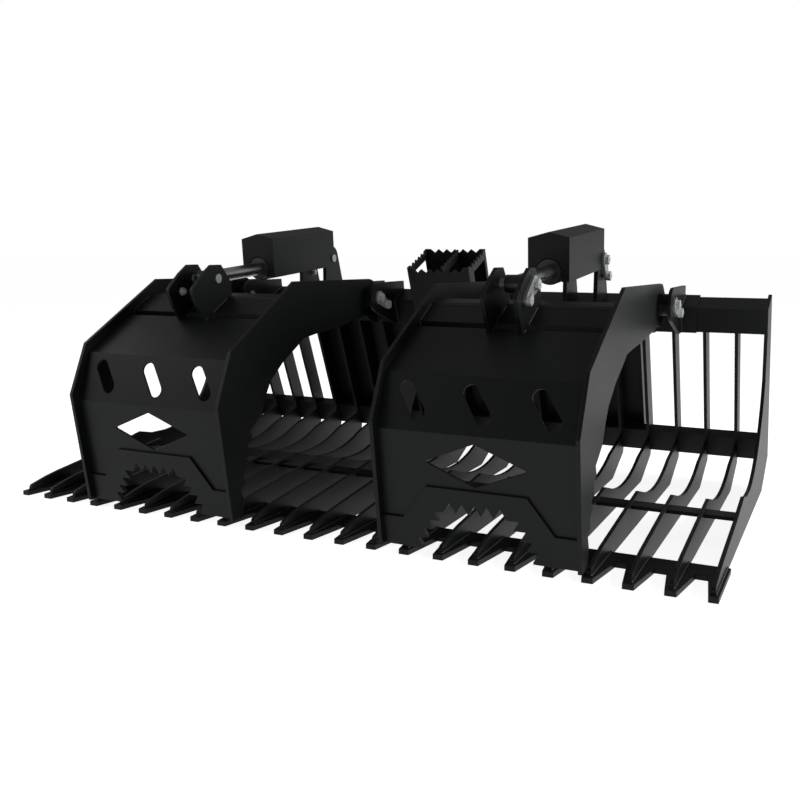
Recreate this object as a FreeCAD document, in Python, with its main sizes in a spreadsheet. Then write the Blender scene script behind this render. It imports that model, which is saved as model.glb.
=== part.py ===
import FreeCAD, Part
import Sketcher
import math
import os

# Grapple bucket: a comb floor and bent tines under a leaning back, with two lids on hinge pins.
# X runs across the bucket, Y from the comb's tips to the back, Z up from the floor.
# Outlines are drawn in a working frame whose Y starts at the tips; bodies are then moved to the
# middle of the depth, so that the origin is the middle of the bottom.

SIZES = {
    # floor comb
    "comb_half_width": 986.5, "comb_depth": 202.5, "comb_thickness": 12.7,
    "finger_pitch": 88.9, "finger_tip_width": 25.2, "gullet_width": 26.9, "finger_length": 130.0,
    # tines and the bars through them
    "tine_thickness": 9.5, "end_tine_face": 977.6, "end_tine_thickness": 9.5,
    "tine_bar_front": 41.8, "tine_bar_width": 60.0, "tine_rise_behind": 60.0, "tine_belly_radius": 520.0,
    "cross_bar_start": 408.0, "cross_bar_width": 50.8, "cross_bar_thickness": 9.5,
    "cross_bar_level": 64.2, "weld_gap": 0.3,
    "rear_tube_front": 52.0, "rear_tube_depth": 38.1, "rear_tube_height": 73.5,
    "rear_tube_drop": 461.4, "rear_tube_wall": 4.8,
    # leaning back
    "lean_angle": 22.5, "beam_foot_y": 880.0, "beam_foot_z": 482.0,
    "beam_size": 76.2, "beam_wall": 6.35, "doubler_thickness": 6.35, "doubler_half_width": 785.0,
    # hinges
    "hinge_y": 730.4, "hinge_z": 567.2, "pin_radius": 12.7, "running_fit": 0.05,
    "ear_thickness": 9.5, "ear_nose_radius": 47.0, "far_ear_reach": 36.5, "near_ear_reach": 35.0,
    "hub_radius": 30.0, "side_play": 0.5,
    # pin flags and their bolts
    "flag_thickness": 7.5, "flag_head_radius": 21.0, "flag_tail_radius": 13.0, "pin_end": 4.6,
    "bolt_radius": 5.0, "bolt_head_radius": 9.0, "bolt_head_height": 6.4, "bolt_play": 0.3,
    "hinge_bolt_y": 47.6, "hinge_bolt_z": -24.0,
    "rod_bolt_y": -56.0, "rod_bolt_z": -35.0,
    "base_bolt_y": 27.0, "base_bolt_z": -48.0,
    # lids
    "lid_centre": 459.0, "lid_outer_half": 247.0, "side_thickness": 9.5, "skin_thickness": 6.0,
    "heel_round_radius": 62.0, "heel_start": -20.0, "heel_middle": -68.0, "heel_end": -116.0,
    "panel_slope": 28.8, "upper_panel_length": 191.0,
    "tube_offset": 214.5, "cross_tube_size": 76.2, "cross_tube_wall": 6.35,
    "window_pitch": 160.0, "window_drop": 64.5, "window_width": 38.0, "window_length": 102.0,
    "window_slant": 33.0,
    "diamond_drop": 71.0, "diamond_half_width": 124.5, "diamond_half_height": 52.0,
    "diamond_round": 3.0,
    "wear_thickness": 6.35, "wear_shoulder_drop": 215.7, "wear_shoulder_half": 184.0,
    "wear_crest_drop": 130.7, "wear_crest_half": 121.6,
    "bite_tip_drop": 165.3, "bite_set": -3.0, "bite_pitch": 30.6, "bite_depth": 24.7,
    "bite_cheek": 28.0, "bite_step_across": 14.8, "bite_step_down": 23.3, "bite_hook": 13.5,
    "leg_tooth_depth": 17.0,
    # clevis and cylinders
    "rod_pin_y": 213.5, "rod_pin_z": 638.3, "base_pin_y": 837.9, "base_pin_z": 688.6,
    "cylinder_centre": 459.0, "clevis_half": 45.0, "clevis_thickness": 9.5,
    "base_half": 52.0, "base_thickness": 12.0, "base_ear_radius": 40.5,
    "barrel_radius": 36.0, "bore_radius": 31.75, "barrel_end": 344.0, "cap_start": 24.0, "cap_end": 46.0,
    "eye_radius": 28.5, "eye_play": 6.6, "rod_radius": 19.05, "gland_length": 30.0,
    "gland_lip": 14.0, "gland_lip_radius": 33.5, "piston_length": 34.0, "rod_tail": 250.0,
    # cylinder covers
    "cover_half": 56.5, "cover_wall": 3.0, "cover_eave": 90.0, "cover_ridge": 14.6,
    "cover_skirt": 26.2, "cover_back": 8.0, "cover_length": 355.0,
    # quick attach
    "coupler_thickness": 12.7, "coupler_height": 400.0, "coupler_rise": 6.0,
    "gusset_thickness": 8.0, "gusset_depth": 57.0,
    "plate_a_outer": -561.0, "plate_a_inner": -343.0, "plate_b_inner": 380.0, "plate_b_outer": 598.0,
    "lip_thickness": 9.5, "lip_length": 50.0, "lip_level": 44.0,
    "ledge_thickness": 9.5, "lock_slot_length": 50.0, "lock_slot_width": 25.0, "lock_slot_set": 29.0,
    # step
    "step_half_width": 105.7, "step_height": 198.0, "step_depth": 150.0, "step_plate": 6.35,
    "step_back_edge": 85.0, "step_tooth": 11.0, "step_divider_set": 12.0,
}

POINTS = {
    "tine_base": (15.6, 12.7), "tine_tip": (15.6, 22.0), "tine_crown": (20.0, 28.0),
    "tine_rise": (75.0, 41.0), "tine_bend": (125.0, 49.5), "tine_peak": (503.0, 89.0),
    "tine_belly": (747.3, 20.2), "tine_heel_front": (930.0, 86.0),
    "tine_heel": (1076.4, 117.0), "tine_back_low": (1101.5, 59.0), "tine_keel_end": (966.0, 0.0),
    "end_middle": (358.0, 79.0), "end_seat": (404.0, 88.0), "end_peak": (498.0, 105.0), "end_dip": (560.0, 91.0),
    "end_arc_start": (625.0, 89.2), "end_arc_middle": (820.8, 174.2), "end_arc_top": (904.4, 350.0),
    "end_back_low": (1157.7, 77.5), "end_keel_end": (1009.0, 0.0),
    "ear_chin": (845.0, 478.0), "ear_crest": (915.0, 614.2),
    "base_foot_front": (797.4, 561.0), "base_foot_rear": (912.0, 600.0),
    "lid_apex": (292.6, 630.8), "lid_top_rear": (738.0, 625.0), "lid_shoulder": (759.0, 621.0),
    "lid_tail": (797.0, 591.0), "lid_neck": (673.0, 502.0), "lid_throat": (592.0, 493.0),
    "arch_rear": (465.0, 480.0), "arch_top": (403.0, 476.0), "arch_bend": (334.0, 468.0),
    "arch_fall": (304.0, 450.0), "arch_front": (229.0, 413.0), "arch_side": (165.0, 367.0),
    "arch_low": (143.0, 333.0), "arch_foot": (120.0, 285.0), "leg_top": (88.0, 262.0),
    "leg_low": (28.0, 75.0), "leg_heel": (23.0, 24.0), "lid_toe": (-21.7, 24.0),
    "lid_nose": (-71.2, 329.7), "lid_brow": (-8.7, 465.1),
    "skin_brow": (-2.6, 440.5), "skin_nose": (-46.4, 312.6), "skin_foot": (-0.3, 27.5),
    "clevis_top_front": (188.0, 676.5), "clevis_top_rear": (231.0, 676.5),
    "clevis_rear": (277.0, 625.0), "clevis_rear_foot": (276.0, 579.0),
    "clevis_front": (150.0, 653.0), "clevis_nose": (97.0, 610.0), "clevis_chin": (119.0, 566.0),
    "clevis_foot": (148.0, 523.4),
}

COUNTS = {"fingers": 23, "tines_per_node": 3, "leg_teeth": 5, "bite_teeth": 5, "cheek_teeth": 4, "step_teeth": 8}

doc = FreeCAD.newDocument("GrappleBucket")
sheet = doc.addObject("Spreadsheet::Sheet", "Sizes")
cells = dict(SIZES)
cells.update(COUNTS)
for title, (depth, level) in POINTS.items():
    cells[title + "_y"] = depth
    cells[title + "_z"] = level
for row, (alias, value) in enumerate(cells.items(), start=1):
    sheet.set(f"A{row}", alias)
    sheet.set(f"B{row}", str(value))
    sheet.setAlias(f"B{row}", alias)
doc.recompute()

X_AXIS = FreeCAD.Vector(1, 0, 0)
QUARTER_TURN = 90.0
HEX_TURN = 60.0
SHORTEST_EDGE = 0.001
NODES = {}


def size(alias):
    """Read one size from the sheet."""
    return float(sheet.get(alias))


def point(alias):
    """Read one outline point, as depth and level, from the sheet."""
    return FreeCAD.Vector(size(alias + "_y"), size(alias + "_z"), 0)


def spot(across, along):
    return FreeCAD.Vector(across, along, 0)


def turned_by(angle):
    """Unit direction at an angle in degrees from the sketch's first axis."""
    return spot(math.cos(math.radians(angle)), math.sin(math.radians(angle)))


def lean(depth, height):
    """Point of the leaning back: depth behind and height above the beam's lower front corner."""
    angle = size("lean_angle")
    foot = point_of_beam()
    return foot + turned_by(angle) * depth + turned_by(angle + QUARTER_TURN) * height


def point_of_beam():
    return spot(size("beam_foot_y"), size("beam_foot_z"))


HINGE = spot(size("hinge_y"), size("hinge_z"))
ROD_PIN = spot(size("rod_pin_y"), size("rod_pin_z"))
BASE_PIN = spot(size("base_pin_y"), size("base_pin_z"))
ROD_LINE = (ROD_PIN - BASE_PIN).normalize()
PIN_DISTANCE = ("sqrt((Sizes.base_pin_y - Sizes.rod_pin_y) ^ 2"
                " + (Sizes.base_pin_z - Sizes.rod_pin_z) ^ 2)")
CYLINDER_TURN = math.degrees(math.atan2(ROD_LINE.y, ROD_LINE.x)) - QUARTER_TURN
TINE_REAR = size("tine_bar_front") + size("tine_bar_width")
COUPLER_FACE = TINE_REAR + size("coupler_thickness")
LEAN = size("lean_angle")
COUPLER_DROP = size("coupler_height") + size("ledge_thickness")
REAR_MOST = lean(COUPLER_FACE + size("gusset_depth"), -COUPLER_DROP)
DEPTH_SHIFT = -(size("lid_nose_y") + REAR_MOST.x) / 2


def round_corner(before, corner, after, radius):
    """Tangent arc at a corner, as its start, middle and end."""
    toward = (before - corner).normalize()
    away = (after - corner).normalize()
    half = toward.getAngle(away) / 2
    reach = radius / math.tan(half)
    inward = (toward + away).normalize()
    middle = corner + inward * (radius / math.sin(half) - radius)
    return corner + toward * reach, middle, corner + away * reach


def outline_edges(outline):
    """Edges of a closed outline of points, (point, radius) corners and ("via", point) arcs."""
    stops = []
    for index, item in enumerate(outline):
        if isinstance(item, tuple) and item[0] == "via":
            stops.append(("via", item[1]))
        elif isinstance(item, tuple):
            before = outline[index - 1]
            after = outline[(index + 1) % len(outline)]
            before = before[0] if isinstance(before, tuple) else before
            after = after[0] if isinstance(after, tuple) else after
            start, middle, end = round_corner(before, item[0], after, item[1])
            stops.extend([("stop", start), ("via", middle), ("stop", end)])
        else:
            stops.append(("stop", item))
    edges = []
    for index, (kind, place) in enumerate(stops):
        if kind == "via":
            continue
        next_kind, next_place = stops[(index + 1) % len(stops)]
        if next_kind == "via":
            far = stops[(index + 2) % len(stops)][1]
            edges.append(Part.Arc(place, next_place, far))
        elif (next_place - place).Length > SHORTEST_EDGE:
            edges.append(Part.LineSegment(place, next_place))
    return edges


def tangent_point(centre, radius, outside, side):
    """Where the line from an outside point touches a circle, on the side given by +1 or -1."""
    arm = outside - centre
    heading = math.degrees(math.atan2(arm.y, arm.x))
    spread = math.degrees(math.acos(radius / arm.Length))
    return centre + turned_by(heading + side * spread) * radius


def saw_points(start, end, count, depth, lift=1.0):
    """Tooth tips and roots along a line, each tip at the end of its tooth, roots to the left."""
    run = end - start
    across = spot(-run.y, run.x).normalize() * depth
    places = []
    for tooth in range(int(count)):
        root = start + run * ((tooth + 0.5) / count)
        tip = start + run * ((tooth + lift) / count)
        places.extend([root + across, tip])
    return places


def new_body(name, plane_role):
    body = doc.addObject("PartDesign::Body", name)
    plane = [item for item in body.Origin.OriginFeatures if item.Role == plane_role][0]
    return body, plane


def draw(body, plane, name, outlines, circles):
    """Sketch with closed outlines and circles; each circle is a centre and a radius expression."""
    sketch = body.newObject("Sketcher::SketchObject", name + "_sketch")
    sketch.AttachmentSupport = [(plane, "")]
    sketch.MapMode = "FlatFace"
    for outline in outlines:
        first = sketch.GeometryCount
        edges = outline_edges(outline)
        sketch.addGeometry(edges, False)
        close_loop(sketch, first, len(edges))
    for centre, radius_rule in circles:
        ring = sketch.addGeometry(Part.Circle(centre, FreeCAD.Vector(0, 0, 1), 1.0), False)
        rule = sketch.addConstraint(Sketcher.Constraint("Radius", ring, 1.0))
        sketch.setExpression(f"Constraints[{rule}]", radius_rule)
    return sketch


def close_loop(sketch, first, count):
    """Join each edge of a loop to the next with a coincidence."""
    rules = []
    for step in range(count):
        here = first + step
        there = first + (step + 1) % count
        ends = [(a, b) for a in (1, 2) for b in (1, 2)]
        gap = {pair: (sketch.getPoint(here, pair[0]) - sketch.getPoint(there, pair[1])).Length
               for pair in ends}
        a, b = min(ends, key=gap.get)
        rules.append(Sketcher.Constraint("Coincident", here, a, there, b))
    sketch.addConstraint(rules)


def pad(body, sketch, length_rule):
    feature = body.newObject("PartDesign::Pad", body.Name + "_pad")
    feature.Profile = sketch
    feature.setExpression("Length", length_rule)
    sketch.Visibility = False
    return feature


def across_piece(name, outlines, thickness_rule, x_rule, circles=()):
    """Piece drawn in the depth and height plane and padded across the bucket from x_rule."""
    body, plane = new_body(name, "YZ_Plane")
    pad(body, draw(body, plane, name, outlines, circles), thickness_rule)
    body.Placement = FreeCAD.Placement(FreeCAD.Vector(0, DEPTH_SHIFT, 0), FreeCAD.Rotation())
    body.setExpression(".Placement.Base.x", x_rule)
    return body


def panel_piece(name, outlines, thickness_rule, corner, tilt, circles=(), x_rule="0"):
    """Piece drawn in a panel's own plane, tilted about X at a corner, and padded along its normal."""
    body, plane = new_body(name, "XY_Plane")
    pad(body, draw(body, plane, name, outlines, circles), thickness_rule)
    base = FreeCAD.Vector(0, corner.x + DEPTH_SHIFT, corner.y)
    body.Placement = FreeCAD.Placement(base, FreeCAD.Rotation(X_AXIS, tilt))
    body.setExpression(".Placement.Base.x", x_rule)
    return body


def cut_away(name, base, tools):
    """Base with tools cut out of it."""
    tool = tools[0]
    if len(tools) > 1:
        tool = doc.addObject("Part::MultiFuse", name + "_tools")
        tool.Shapes = tools
    cut = doc.addObject("Part::Cut", name + "_cut")
    cut.Base = base
    cut.Tool = tool
    return cut


def join(name, pieces):
    joined = doc.addObject("Part::MultiFuse", name + "_joined")
    joined.Shapes = pieces
    return joined


def node(name, pieces):
    """Sub-part under its node name; like pieces stay separate solids of one compound."""
    group = doc.addObject("Part::Compound", name + "_node")
    group.Links = pieces
    group.Label = name
    NODES[name] = group


def comb_plate():
    pitch = size("finger_pitch")
    tip = size("finger_tip_width") / 2
    root = (pitch - size("gullet_width")) / 2
    edge = size("comb_half_width")
    rear = size("comb_depth")
    length = size("finger_length")
    side_count = (int(size("fingers")) - 1) // 2
    outline = [spot(edge, rear), spot(-edge, rear)]
    for finger in range(-side_count, side_count + 1):
        middle = finger * pitch
        left = [spot(middle - root, length), spot(middle - tip, 0)]
        right = [spot(middle + tip, 0), spot(middle + root, length)]
        if finger == -side_count:
            left = [spot(-edge, 0)]
        if finger == side_count:
            right = [spot(edge, 0)]
        outline.extend(left + right)
    body = panel_piece("comb_plate", [outline], "Sizes.comb_thickness", spot(0, 0), 0)
    node("comb_plate", [body])


def slot_box(start, first, second, gap):
    """Four corners of a rectangle from a corner and its two sides, grown by a gap on every side."""
    one = FreeCAD.Vector(first).normalize() * gap
    two = FreeCAD.Vector(second).normalize() * gap
    return [start - one - two, start + first + one - two,
            start + first + second + one + two, start + second - one + two]


def cross_bar_box(gap):
    start = spot(size("cross_bar_start"), size("cross_bar_level"))
    return slot_box(start, spot(size("cross_bar_width"), 0), spot(0, size("cross_bar_thickness")), gap)


def rear_tube_box(gap, wall=0.0):
    depth = size("rear_tube_depth") - 2 * wall
    height = size("rear_tube_height") - 2 * wall
    start = lean(size("rear_tube_front") + wall, wall - size("rear_tube_drop"))
    return slot_box(start, turned_by(LEAN) * depth, turned_by(LEAN + QUARTER_TURN) * height, gap)


def rear_tube_notch(gap):
    """Notch round the rear tube, open below: low front, low rear, top rear and top front corners."""
    front = size("rear_tube_front") - gap
    rear = front + size("rear_tube_depth") + 2 * gap
    low = -size("rear_tube_drop")
    top = low + size("rear_tube_height") + gap
    return [lean(front, low), lean(rear, low), lean(rear, top), lean(front, top)]


def tines():
    front = size("tine_bar_front")
    back = front + size("tine_bar_width")
    rear = size("comb_depth")
    plate = size("comb_thickness")
    gap = size("weld_gap")
    rise = size("tine_rise_behind")
    notch = rear_tube_notch(gap)
    tip = point("tine_base")
    outline = [
        spot(tip.x, plate), point("tine_tip"), point("tine_crown"), point("tine_rise"),
        point("tine_bend"), point("tine_peak"),
        (point("tine_belly"), size("tine_belly_radius")), point("tine_heel_front"),
        lean_line_meet(point("tine_heel"), front),
        lean(front, 0), lean(size("beam_size") + gap, 0), lean(size("beam_size") + gap, rise),
        lean(back, rise), lean(back, -size("rear_tube_drop")), notch[1], notch[2], notch[3], notch[0],
        point("tine_back_low"), point("tine_keel_end"), spot(rear, 0), spot(rear, plate),
    ]
    slots = [cross_bar_box(gap)]
    group = int(size("tines_per_node"))
    side_count = (int(size("fingers")) - 1) // 2 - 1
    numbers = list(range(-side_count, side_count + 1))
    for start in range(0, len(numbers), group):
        pieces = []
        for number in numbers[start:start + group]:
            rule = f"{number} * Sizes.finger_pitch - Sizes.tine_thickness / 2"
            pieces.append(across_piece(f"tine_{number + side_count + 1}", [outline] + slots,
                                       "Sizes.tine_thickness", rule))
        node(f"tines_{start // group + 1}", pieces)


def lean_line_meet(guide, depth):
    """Point of the leaning line at this depth that is level with a guide point."""
    foot = lean(depth, 0)
    up = turned_by(LEAN + QUARTER_TURN)
    return foot + up * ((guide.y - foot.y) / up.y)


def end_tines():
    back = size("tine_bar_front") + size("tine_bar_width")
    rear = size("comb_depth")
    plate = size("comb_thickness")
    tip = point("tine_base")
    outline = [
        spot(tip.x, plate), point("tine_tip"), point("tine_crown"), point("tine_rise"),
        point("tine_bend"), point("end_middle"), point("end_seat"), point("end_peak"), point("end_dip"),
        point("end_arc_start"), ("via", point("end_arc_middle")), point("end_arc_top"),
        lean(0, 0), lean(0, size("beam_size")), lean(back, size("beam_size")),
        point("end_back_low"), point("end_keel_end"), spot(rear, 0), spot(rear, plate),
    ]
    left = across_piece("end_plate_left", [outline], "Sizes.end_tine_thickness",
                        "-Sizes.end_tine_face")
    right = across_piece("end_plate_right", [outline], "Sizes.end_tine_thickness",
                         "Sizes.end_tine_face - Sizes.end_tine_thickness")
    node("end_tine_left", [left])
    node("end_tine_right", [right])


FULL_LENGTH = "2 * (Sizes.end_tine_face - Sizes.end_tine_thickness)"
FULL_START = "Sizes.end_tine_thickness - Sizes.end_tine_face"


def bars_and_beam():
    bar = across_piece("mid_bar", [cross_bar_box(0)], FULL_LENGTH, FULL_START)
    node("mid_cross_bar", [bar])
    tube = across_piece("back_tube", [rear_tube_box(0), rear_tube_box(0, size("rear_tube_wall"))],
                        FULL_LENGTH, FULL_START)
    node("rear_tube", [tube])
    beam = size("beam_size")
    wall = size("beam_wall")
    outer = [lean(0, 0), lean(beam, 0), lean(beam, beam), lean(0, beam)]
    inner = [lean(wall, wall), lean(beam - wall, wall), lean(beam - wall, beam - wall),
             lean(wall, beam - wall)]
    body = across_piece("beam_tube", [outer, inner], FULL_LENGTH, FULL_START)
    node("top_beam", [body])
    skin = size("doubler_thickness")
    angle = [lean(-skin, 0), lean(0, 0), lean(0, beam), lean(beam, beam), lean(beam, beam + skin),
             lean(-skin, beam + skin)]
    doubler = across_piece("doubler_angle", [angle], "2 * Sizes.doubler_half_width",
                           "-Sizes.doubler_half_width")
    node("beam_doubler", [doubler])


def doubler_top(depth):
    return lean(depth, size("beam_size") + size("doubler_thickness"))


def ear_outline():
    """Hinge ear from the doubler's front and top to the round nose about the hinge."""
    skin = size("doubler_thickness")
    nose = size("ear_nose_radius")
    chin = point("ear_chin")
    touch = tangent_point(HINGE, nose, chin, -1)
    top = HINGE + spot(0, nose)
    crest = spot(point("ear_crest").x, top.y)
    return [lean(-skin, 0), chin, touch, ("via", HINGE + turned_by(2 * QUARTER_TURN) * nose), top,
            crest, doubler_top(size("beam_size")), doubler_top(-skin)]


def flag_outline(centre, arm):
    """Flag from its round head on a pin to the smaller round tail about its bolt."""
    head = size("flag_head_radius")
    tail = size("flag_tail_radius")
    bolt = centre + arm
    heading = math.degrees(math.atan2(arm.y, arm.x))
    spread = math.degrees(math.acos((head - tail) / arm.Length))
    return [centre + turned_by(heading + spread) * head,
            ("via", centre - turned_by(heading) * head),
            centre + turned_by(heading - spread) * head,
            bolt + turned_by(heading - spread) * tail,
            ("via", bolt + turned_by(heading) * tail),
            bolt + turned_by(heading + spread) * tail]


def hexagon(centre):
    radius = size("bolt_head_radius")
    return [centre + turned_by(corner * HEX_TURN) * radius for corner in range(6)]


PIN_HOLE = "Sizes.pin_radius + Sizes.running_fit"
BOLT_HOLE = "Sizes.bolt_radius + Sizes.bolt_play"


HINGE_ARM = spot(size("hinge_bolt_y"), size("hinge_bolt_z"))
ROD_ARM = spot(size("rod_bolt_y"), size("rod_bolt_z"))
BASE_ARM = spot(size("base_bolt_y"), size("base_bolt_z"))


def hinge_plates():
    """Name, side sign and rules for the inner and outer face of every lid side plate."""
    rules = []
    for name, side in (("left", -1), ("right", 1)):
        centre = f"{side} * Sizes.lid_centre"
        for place, way in (("out", side), ("in", -side)):
            outer = f"({centre} + {way} * Sizes.lid_outer_half)"
            rules.append((name, place, way, outer))
    return rules


def span(way, near, far):
    """Start and length rules of a pad between two distances along a side's direction."""
    start = near if way > 0 else far
    return start, f"abs(({far}) - ({near}))"


def offset(face, way, distance):
    return f"({face} + {way} * ({distance}))"


def hinges():
    """Hinge ears, pins, flags and bolts at the four side plates."""
    ears = {"left": [], "right": []}
    pins = []
    flags = []
    bolts = []
    bolt_centre = HINGE + HINGE_ARM
    for name, place, way, face in hinge_plates():
        tag = name + "_" + place
        far_face = offset(face, way, "Sizes.far_ear_reach")
        far_start, far_length = span(way, offset(face, way, "Sizes.far_ear_reach - Sizes.ear_thickness"),
                                     far_face)
        holes = [(HINGE, PIN_HOLE), (bolt_centre, BOLT_HOLE)]
        ears[name].append(across_piece("far_ear_" + tag, [ear_outline()], far_length, far_start, holes))
        near_rule = "-Sizes.side_thickness - Sizes.near_ear_reach"
        near_start, near_length = span(way, offset(face, way, near_rule),
                                       offset(face, way, near_rule + " + Sizes.ear_thickness"))
        ears[name].append(across_piece("near_ear_" + tag, [ear_outline()], near_length, near_start,
                                       [(HINGE, PIN_HOLE)]))
        flag_rule = "Sizes.far_ear_reach + Sizes.flag_thickness"
        pin_start, pin_length = span(way, offset(face, way, near_rule + " - Sizes.pin_end"),
                                     offset(face, way, flag_rule + " + Sizes.pin_end"))
        pins.append(across_piece("hinge_pin_" + tag, [], pin_length, pin_start,
                                 [(HINGE, "Sizes.pin_radius")]))
        flag_start, flag_length = span(way, far_face, offset(face, way, flag_rule))
        flags.append(across_piece("hinge_flag_" + tag, [flag_outline(HINGE, HINGE_ARM)], flag_length,
                                  flag_start, [(HINGE, PIN_HOLE), (bolt_centre, BOLT_HOLE)]))
        bolts.append(flag_bolt("hinge_bolt_" + tag, bolt_centre, way, face,
                               "Sizes.far_ear_reach - Sizes.ear_thickness", flag_rule))
    node("hinge_ears_left", ears["left"])
    node("hinge_ears_right", ears["right"])
    node("hinge_pins", pins)
    return flags, bolts


def flag_bolt(name, centre, way, face, inner, outer):
    """Bolt through a flag and the plate behind it, with its head on the flag."""
    shank_start, shank_length = span(way, offset(face, way, inner), offset(face, way, outer))
    head_start, head_length = span(way, offset(face, way, outer),
                                   offset(face, way, outer + " + Sizes.bolt_head_height"))
    shank = across_piece(name + "_shank", [], shank_length, shank_start, [(centre, "Sizes.bolt_radius")])
    head = across_piece(name + "_head", [hexagon(centre)], head_length, head_start)
    return join(name, [shank, head])


def base_ear_outline():
    radius = size("base_ear_radius")
    skin = size("doubler_thickness")
    front = BASE_PIN - spot(radius, 0)
    foot = spot(front.x, point("base_foot_front").y)
    rear_foot = point("base_foot_rear")
    on_top = doubler_top(0)
    along = turned_by(LEAN)
    rear_foot = on_top + along * (rear_foot - on_top).dot(along)
    touch = tangent_point(BASE_PIN, radius, rear_foot, 1)
    return [foot, lean(-skin, size("beam_size") / 2), doubler_top(-skin), rear_foot, touch,
            ("via", BASE_PIN + spot(0, radius)), front]


SIDES = (("left", -1), ("right", 1))


def base_mounts(flags, bolts):
    """Cylinder base ears, pins, flags and bolts on the beam."""
    ears = []
    pins = []
    bolt_centre = BASE_PIN + BASE_ARM
    for name, side in SIDES:
        centre = f"({side} * Sizes.cylinder_centre)"
        for place, way in (("out", side), ("in", -side)):
            start, length = span(way, offset(centre, way, "Sizes.base_half - Sizes.base_thickness"),
                                 offset(centre, way, "Sizes.base_half"))
            holes = [(BASE_PIN, PIN_HOLE)]
            if place == "out":
                holes.append((bolt_centre, BOLT_HOLE))
            ears.append(across_piece(f"base_ear_{name}_{place}", [base_ear_outline()], length, start,
                                     holes))
        flag_near = "Sizes.cover_half + Sizes.side_play"
        flag_far = flag_near + " + Sizes.flag_thickness"
        pin_start, pin_length = span(side, offset(centre, side, "-Sizes.cover_half - Sizes.pin_end"),
                                     offset(centre, side, flag_far + " + Sizes.pin_end"))
        pins.append(across_piece("base_pin_" + name, [], pin_length, pin_start,
                                 [(BASE_PIN, "Sizes.pin_radius")]))
        flag_start, flag_length = span(side, offset(centre, side, flag_near),
                                       offset(centre, side, flag_far))
        flags.append(across_piece("base_flag_" + name, [flag_outline(BASE_PIN, BASE_ARM)], flag_length,
                                  flag_start, [(BASE_PIN, PIN_HOLE), (bolt_centre, BOLT_HOLE)]))
        bolts.append(flag_bolt("base_bolt_" + name, bolt_centre, side, centre,
                               "Sizes.base_half - Sizes.base_thickness", flag_far))
    node("base_ears", ears)
    node("base_pins", pins)
    node("pin_flags", flags)
    node("flag_bolts", bolts)


def quick_attach():
    """Loader coupling behind the back: two plates, gussets, bent upper lip and slotted lower ledges."""
    height = size("coupler_height")
    rise = size("coupler_rise")
    reach = COUPLER_FACE + size("gusset_depth")
    plate_outline = [lean(TINE_REAR, -height), lean(COUPLER_FACE, -height), lean(COUPLER_FACE, rise),
                     lean(TINE_REAR, rise)]
    gusset_outline = [lean(TINE_REAR, -COUPLER_DROP), lean(reach, -COUPLER_DROP),
                      lean(reach, size("gusset_depth") - COUPLER_DROP),
                      lean(COUPLER_FACE, 0), lean(TINE_REAR, 0)]
    plates = []
    gussets = []
    ledges = []
    spans = (("a", "Sizes.plate_a_outer", "Sizes.plate_a_inner"),
             ("b", "Sizes.plate_b_inner", "Sizes.plate_b_outer"))
    for tag, start, end in spans:
        plates.append(across_piece("coupler_plate_" + tag, [plate_outline],
                                   f"{end} - {start} - 2 * Sizes.gusset_thickness",
                                   f"{start} + Sizes.gusset_thickness"))
        gussets.append(across_piece("gusset_first_" + tag, [gusset_outline], "Sizes.gusset_thickness",
                                    start))
        gussets.append(across_piece("gusset_second_" + tag, [gusset_outline], "Sizes.gusset_thickness",
                                    f"{end} - Sizes.gusset_thickness"))
        ledges.append(ledge_piece(tag, start, end))
    node("coupler_plates", plates)
    node("coupler_gussets", gussets)
    node("lower_ledges", ledges)
    level = size("lip_level")
    lip_run = turned_by(LEAN - QUARTER_TURN / 2)
    root = lean(COUPLER_FACE, level)
    thick = turned_by(LEAN + QUARTER_TURN / 2) * size("lip_thickness")
    upper = lean(COUPLER_FACE, level + size("lip_thickness") * math.sqrt(2))
    lip_top = lean(TINE_REAR, level + size("lip_thickness") * math.sqrt(2))
    lip_outline = [lean(TINE_REAR, rise), lean(COUPLER_FACE, rise),
                   root, root + lip_run * size("lip_length"),
                   root + lip_run * size("lip_length") + thick, upper, lip_top]
    lip = across_piece("lip_bar", [lip_outline], "Sizes.plate_b_outer - Sizes.plate_a_outer",
                       "Sizes.plate_a_outer")
    node("upper_lip", [lip])


def ledge_piece(tag, start, end):
    """Ledge under one coupler plate, with the slot that its lock pin drops through."""
    width = sheet_span(start, end) - 2 * size("gusset_thickness")
    depth = size("coupler_thickness")
    corner = lean(TINE_REAR, -COUPLER_DROP)
    reach = size("gusset_depth") + depth
    outline = [spot(0, 0), spot(width, 0), spot(width, reach), spot(0, reach)]
    half_long = size("lock_slot_length") / 2
    half_wide = size("lock_slot_width") / 2
    middle = spot(width / 2, depth + size("lock_slot_set"))
    slot = [middle + spot(-half_long, -half_wide), middle + spot(half_long, -half_wide),
            middle + spot(half_long, half_wide), middle + spot(-half_long, half_wide)]
    return panel_piece("ledge_" + tag, [outline, slot], "Sizes.ledge_thickness", corner, LEAN,
                       x_rule=f"{start} + Sizes.gusset_thickness")


def sheet_span(start, end):
    return size(end.replace("Sizes.", "")) - size(start.replace("Sizes.", ""))


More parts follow.
